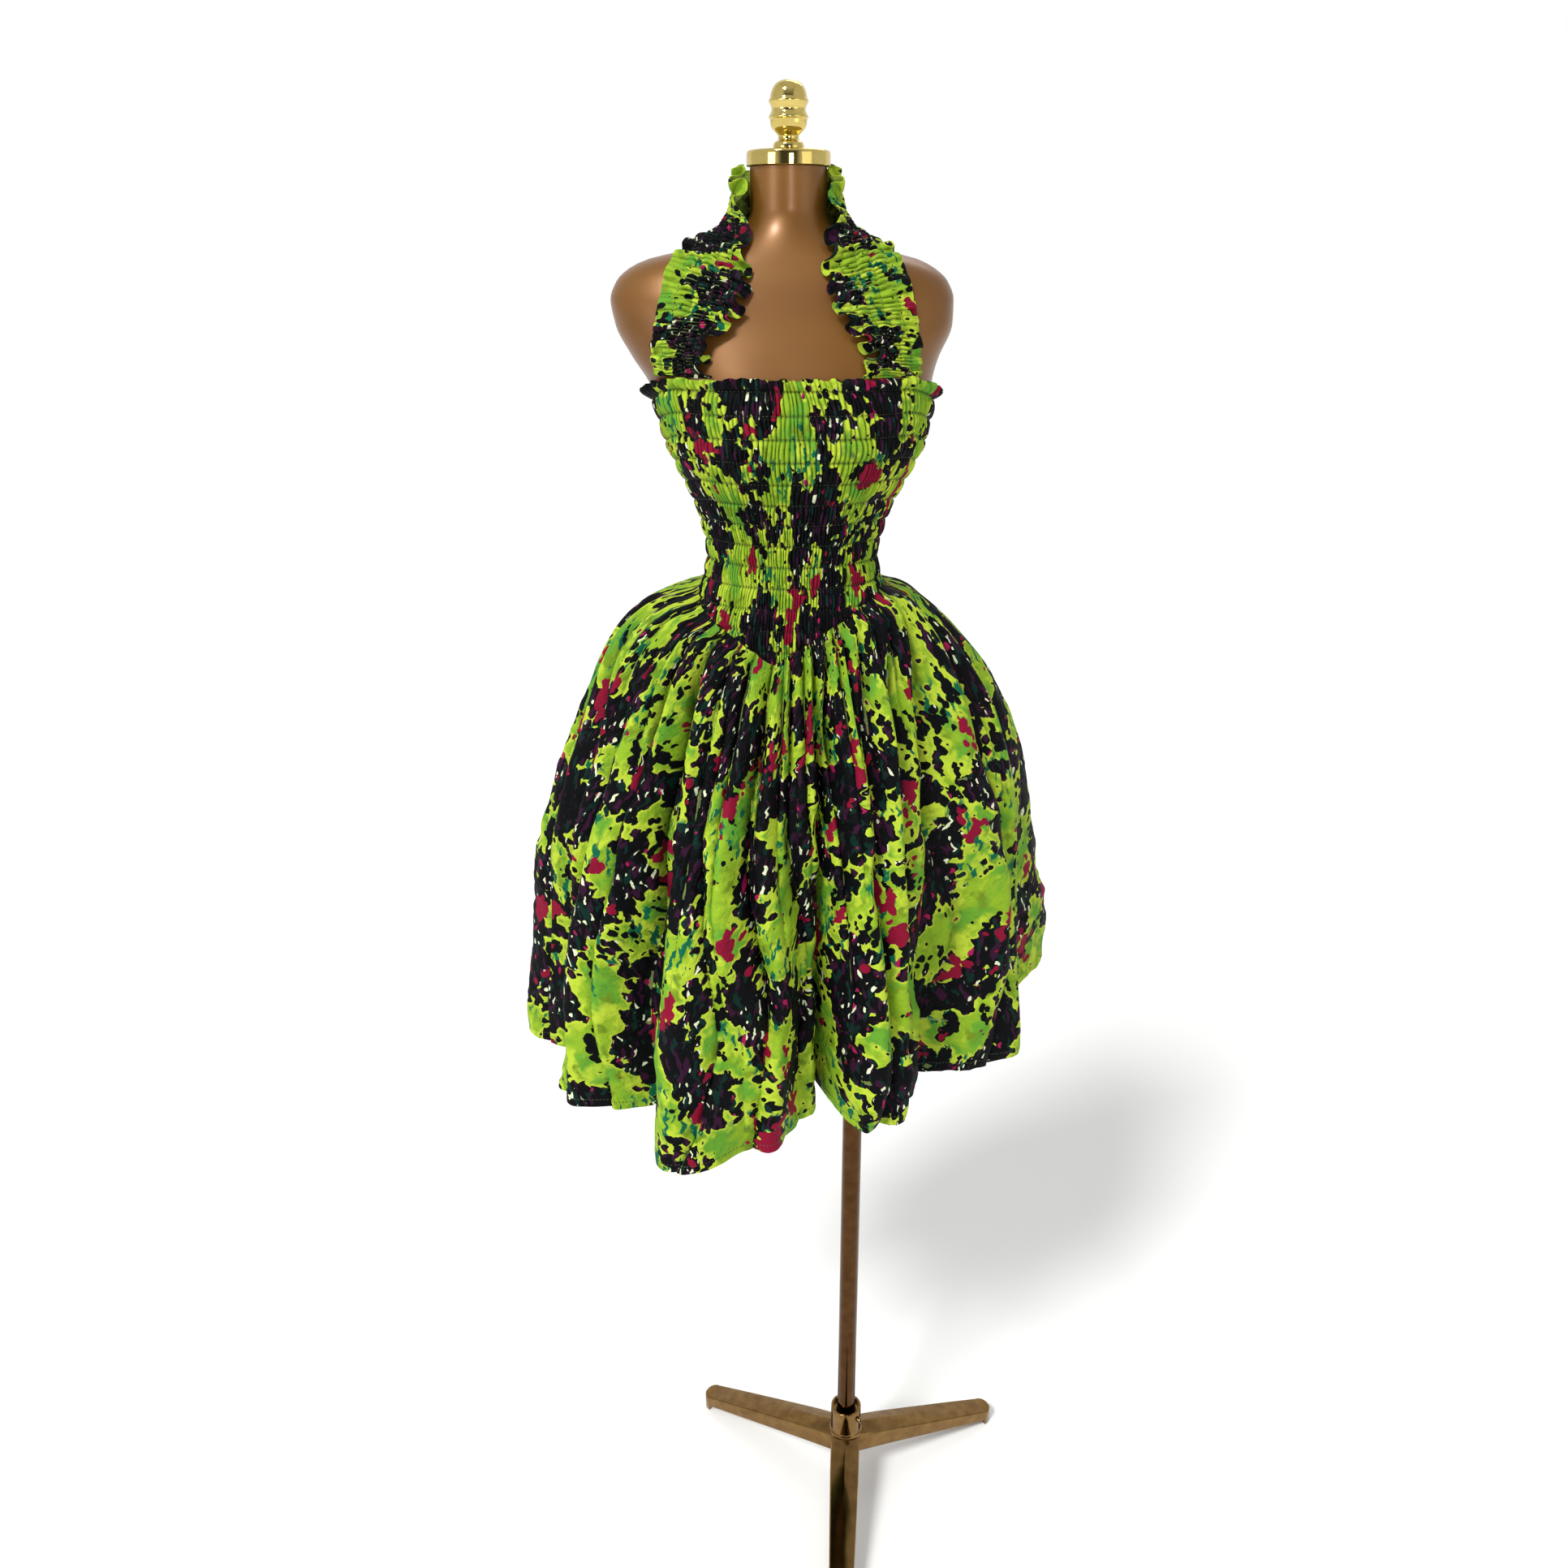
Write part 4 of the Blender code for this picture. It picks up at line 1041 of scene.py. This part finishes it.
def turnOutline(name, outline, centre, finish, slotName, *nodes, steps=96, rounds=2):
    points = list(outline)
    for again in range(rounds):  # corners are cut back, so that the plate runs softly over them
        cut = [points[0]]
        for first, second in zip(points, points[1:]):
            for share in (0.25, 0.75):
                cut.append(tuple(a + (b - a) * share for a, b in zip(first, second)))
        points = cut + [points[-1]]
    deselectAll()
    bpy.ops.mesh.primitive_plane_add(size=0.002, location=(centre[0] + points[0][0], centre[1], points[0][1]))
    piece = bpy.context.object
    piece.name = piece.data.name = name
    bpy.ops.object.transform_apply(location=True, rotation=True, scale=True)
    bpy.ops.object.mode_set(mode="EDIT")
    bpy.ops.mesh.merge(type="CENTER")
    for first, second in zip(points, points[1:]):
        step = (second[0] - first[0], 0.0, second[1] - first[1])
        bpy.ops.mesh.extrude_region_move(TRANSFORM_OT_translate={"value": step})
    bpy.ops.mesh.select_all(action="SELECT")
    bpy.ops.mesh.spin(steps=steps, angle=math.tau, center=(*centre, 0.0), axis=(0.0, 0.0, 1.0))
    bpy.ops.mesh.select_all(action="SELECT")
    bpy.ops.mesh.remove_doubles(threshold=0.000001)
    endEditing()
    shadeSmooth(piece, 35.0)
    return settle(piece, finish, slotName, *nodes)


neckMiddle = (formAxis.x - 0.0015, formAxis.y)
finialOutline = (
    # radius, height
    (0.0000, 1.7583), (0.0145, 1.7583), (0.0155, 1.7600), (0.0152, 1.7630), (0.0140, 1.7655), (0.0106, 1.7670),
    (0.0102, 1.7690), (0.0103, 1.7715), (0.0125, 1.7735), (0.0160, 1.7765), (0.0178, 1.7800), (0.0184, 1.7850),
    (0.0186, 1.7862), (0.0196, 1.7868), (0.0196, 1.7882), (0.0186, 1.7900), (0.0169, 1.7930), (0.0168, 1.7960),
    (0.0184, 1.7990), (0.0196, 1.8012), (0.0196, 1.8028), (0.0182, 1.8048), (0.0178, 1.8075), (0.0164, 1.8125),
    (0.0132, 1.8172), (0.0085, 1.8201), (0.0035, 1.8210), (0.0000, 1.8210),
)
capOutline = (
    # radius, height
    (0.0000, 1.7430), (0.0405, 1.7430), (0.0420, 1.7437), (0.0420, 1.7450), (0.0420, 1.7545), (0.0414, 1.7568),
    (0.0400, 1.7577), (0.0380, 1.7580), (0.0000, 1.7580),
)
hubOutline = (
    # radius, height
    (0.0130, 0.0500), (0.0190, 0.0500), (0.0205, 0.0515), (0.0205, 0.0530), (0.0205, 0.0875), (0.0207, 0.0880),
    (0.0233, 0.0888), (0.0235, 0.0900), (0.0235, 0.0930), (0.0228, 0.0942), (0.0214, 0.0958), (0.0212, 0.0980),
    (0.0212, 0.1325), (0.0208, 0.1338), (0.0196, 0.1340), (0.0184, 0.1340), (0.0174, 0.1335), (0.0172, 0.1320),
    (0.0172, 0.1270), (0.0168, 0.1262), (0.0130, 0.1260), (0.0130, 0.0500),
)
turnOutline("finialKnob", finialOutline, neckMiddle, goldPlate, "gold_plate", "finial")
turnOutline("neckCapPlate", capOutline, neckMiddle, goldPlate, "gold_plate", "neck_cap", rounds=1)
turnOutline("hubCollar", hubOutline, poleMiddle, bronzePlate, "bronze_plate", "hub", rounds=1)
poleOutline = (
    # radius, height
    (0.0000, 0.0520), (0.0118, 0.0520), (0.0125, 0.0527), (0.0125, 1.2633), (0.0118, 1.2640), (0.0000, 1.2640),
)
# the pole takes the darker copy of the bronze plate, darkened as painted shade
turnOutline("polePipe", poleOutline, poleMiddle, polePlatePaintedDarker, "bronze_plate", "pole", rounds=0)

# Legs: a broad flat top with a low ridge near the hub, straight sides and a rounded tip over a small foot

leg = {
    "angles": {"leg_left": 146.2, "leg_right": 26.2, "leg_front": -93.8}, "ridge": 0.0078, "ridgeEnd": 0.70,
    "tipStart": 0.2350, "tipReach": 0.0140, "tipSteps": 9, "tipWidth": 0.0298, "tipTurn": math.radians(86.0),
    "tipTop": 0.0252, "tipFall": 0.0030, "tipLift": 0.0012, "bevel": 0.0009,
}
legSections = (
    # distance from the pole's axis, width, top, underside
    (0.0118, 0.0409, 0.0890, 0.0592),  # runs on to meet the next leg inside the hub
    (0.0600, 0.0400, 0.0765, 0.0495),
    (0.1200, 0.0370, 0.0590, 0.0355),
    (0.1800, 0.0335, 0.0415, 0.0215),
    (0.2344, 0.0300, 0.0254, 0.0085),
)
legProfile = (
    # share across the width, share of the height
    (-0.48, 0.0), (0.48, 0.0), (0.5, 0.05), (0.5, 0.93), (0.46, 1.0), (0.0, 1.0), (-0.46, 1.0), (-0.5, 0.93),
    (-0.5, 0.05),
)


def outwardAxes(degrees):  # away from the pole, and to the left of that
    turn = math.radians(degrees)
    return Vector((math.cos(turn), math.sin(turn), 0.0)), Vector((-math.sin(turn), math.cos(turn), 0.0))


def makeLeg(node, degrees):
    direction, aside = outwardAxes(degrees)
    sections = list(legSections)
    for step in range(leg["tipSteps"]):
        around = leg["tipTurn"] * step / (leg["tipSteps"] - 1)
        distance = leg["tipStart"] + leg["tipReach"] * math.sin(around)
        top = leg["tipTop"] - leg["tipFall"] * (1.0 - math.cos(around))
        underside = 0.0 if step < leg["tipSteps"] - 3 else leg["tipLift"]
        sections.append((distance, leg["tipWidth"] * math.cos(around), top, underside))
    rings = []
    for distance, width, top, underside in sections:
        ridge = leg["ridge"] * max(0.0, 1.0 - distance / (leg["tipStart"] * leg["ridgeEnd"]))
        rings.append([])
        for across, up in legProfile:
            point = Vector((*poleMiddle, 0.0)) + direction * distance + aside * (across * width)
            height = underside + (top - underside) * up + (0.0 if across else ridge)
            rings[-1].append((point.x, point.y, height))
    piece = loftRings(node.replace("leg_", "castLeg_"), rings)
    applyModifier(piece, "BEVEL", width=leg["bevel"], segments=3, limit_method="ANGLE",
                  angle_limit=math.radians(28.0))
    shadeSmooth(piece, 30.0)
    return settle(piece, bronzePlate, "bronze_plate", node)


for legNode, legDegrees in leg["angles"].items():
    makeLeg(legNode, legDegrees)

screw = {"angle": -38.0, "height": 0.1190, "start": 0.0213, "radius": 0.0040, "length": 0.0045, "steps": 30}
screwOutline = (
    # share of the length, share of the radius; the last two are the hexagon socket
    (0.0, 1.0), (0.80, 1.0), (0.92, 0.95), (1.0, 0.82), (1.0, 0.48), (0.45, 0.44),
)


def makeScrew():
    direction, aside = outwardAxes(screw["angle"])
    start = Vector((*poleMiddle, screw["height"])) + direction * screw["start"]
    rings = []
    for along, share in screwOutline:
        rings.append([])
        for step in range(screw["steps"]):
            around = math.tau * step / screw["steps"]
            hexagon = 1.0 / math.cos(math.remainder(around, math.tau / 6.0)) if share < 0.5 else 1.0
            radius = screw["radius"] * share * hexagon
            point = start + direction * (along * screw["length"]) + aside * (radius * math.cos(around))
            rings[-1].append((point.x, point.y, point.z + radius * math.sin(around)))
    piece = loftRings("setScrewHead", rings)
    shadeSmooth(piece, 30.0)
    return settle(piece, bronzePlate, "bronze_plate", "set_screw")


makeScrew()
print("stand made")

# Cloth pieces

bodiceFront = makeBodice("bodiceFrontShirred", "bodice_front", -side, side, 0.3)
bodiceBack = makeBodice("bodiceBackShirred", "bodice_back", side, 3.0 * side, 1.9)
skirtFront = makeSkirt("skirtFrontGathered", "skirt_front", -side, side, 3.2)
skirtBack = makeSkirt("skirtBackGathered", "skirt_back", side, 3.0 * side, 6.5)
strapRight = makeStrap("strapRightFrilled", "strap_right", 1.0, formTree, 10.9)
strapLeft = makeStrap("strapLeftFrilled", "strap_left", -1.0, formTree, 14.1)
print("cloth made")

# Floor, light and camera

deselectAll()
bpy.ops.mesh.primitive_plane_add(size=60.0, location=(0.0, 0.0, 0.0))
floor = bpy.context.object
floor.name = "paleFloor"
floor.name = "paleFloor"
floorFinish, floorTree, floorShader = newFinish("paleStudioFloor")
feed(floorShader, {"Base Color": hexColour("#ECECEA"), "Roughness": 0.9})
floor.data.materials.append(floorFinish)

world = bpy.data.worlds.new("softStudio")
bpy.context.scene.world = world
world.use_nodes = True
sky = world.node_tree
facing = addNode(sky, "TexCoord")
split = addNode(sky, "SeparateXYZ", None, {0: facing}).node.outputs
sideways = addNode(sky, "Math", None, {0: split["X"]}, operation="ABSOLUTE")
skyParts = (
    # soft walls of light at both sides and behind, and a ceiling, with a dim room in front
    # direction, from, to, dimmest, brightest
    (sideways, 0.30, 0.62, 0.06, 0.68),
    (split["Y"], 0.25, 0.60, 0.0, 0.90),
    (split["Z"], 0.25, 0.85, 0.0, 0.60),
)
glow = None
for direction, start, end, dim, bright in skyParts:
    values = {"From Min": start, "From Max": end, "To Min": dim, "To Max": bright}
    wall = addNode(sky, "MapRange", values, {"Value": direction}, interpolation_type="SMOOTHSTEP")
    glow = addNode(sky, "Math", None, {0: glow, 1: wall}, operation="MAXIMUM") if glow else wall
white = (1.0, 1.0, 1.0, 1.0)
ceiling = addNode(sky, "Background", {"Color": white}, {"Strength": glow})
backdrop = addNode(sky, "Background", {"Color": white, "Strength": 1.0})  # what the camera sees: even and pale
seen = addNode(sky, "LightPath")
mixed = addNode(sky, "MixShader", None, {0: seen, 1: ceiling, 2: backdrop})
feed(sky.nodes["World Output"], None, {"Surface": mixed})

lamps = (
    # name, kind, place, looks at, size, power
    ("keySun", "SUN", (-1.4, -1.9, 3.8), (0.0, 0.0, 1.1), math.radians(14.0), 2.65),
    ("windowPanel", "AREA", (-1.7, -1.6, 1.95), (0.0, 0.0, 1.5), 0.8, 9.0),
    ("frontPanel", "AREA", (0.30, -2.3, 2.0), (0.0, 0.0, 1.5), 0.4, 8.0),
    ("fillPanel", "AREA", (2.2, -1.8, 1.9), (0.0, 0.0, 1.1), 1.4, 5.0),
    ("topPanel", "AREA", (0.5, 1.2, 3.2), (0.0, 0.0, 1.4), 1.2, 9.0),
)
for lampName, kind, place, target, size, power in lamps:
    bpy.ops.object.light_add(type=kind, location=place)
    lamp = bpy.context.object
    lamp.name = lampName
    lamp.data.energy = power
    if kind == "SUN":
        lamp.data.angle = size
    else:
        lamp.data.shape = "SQUARE"
        lamp.data.size = size
    lamp.rotation_euler = (Vector(target) - Vector(place)).to_track_quat("-Z", "Y").to_euler()

view = {"place": (-0.0090, -1.4934, 1.6644), "tilt": math.radians(68.65), "lens": 31.26, "sensor": 36.0}
bpy.ops.object.camera_add(location=view["place"], rotation=(view["tilt"], 0.0, 0.0))
camera = bpy.context.object
camera.data.lens = view["lens"]
camera.data.sensor_width = view["sensor"]
camera.data.clip_start = 0.05
bpy.context.scene.camera = camera
print("floor, light and camera set")
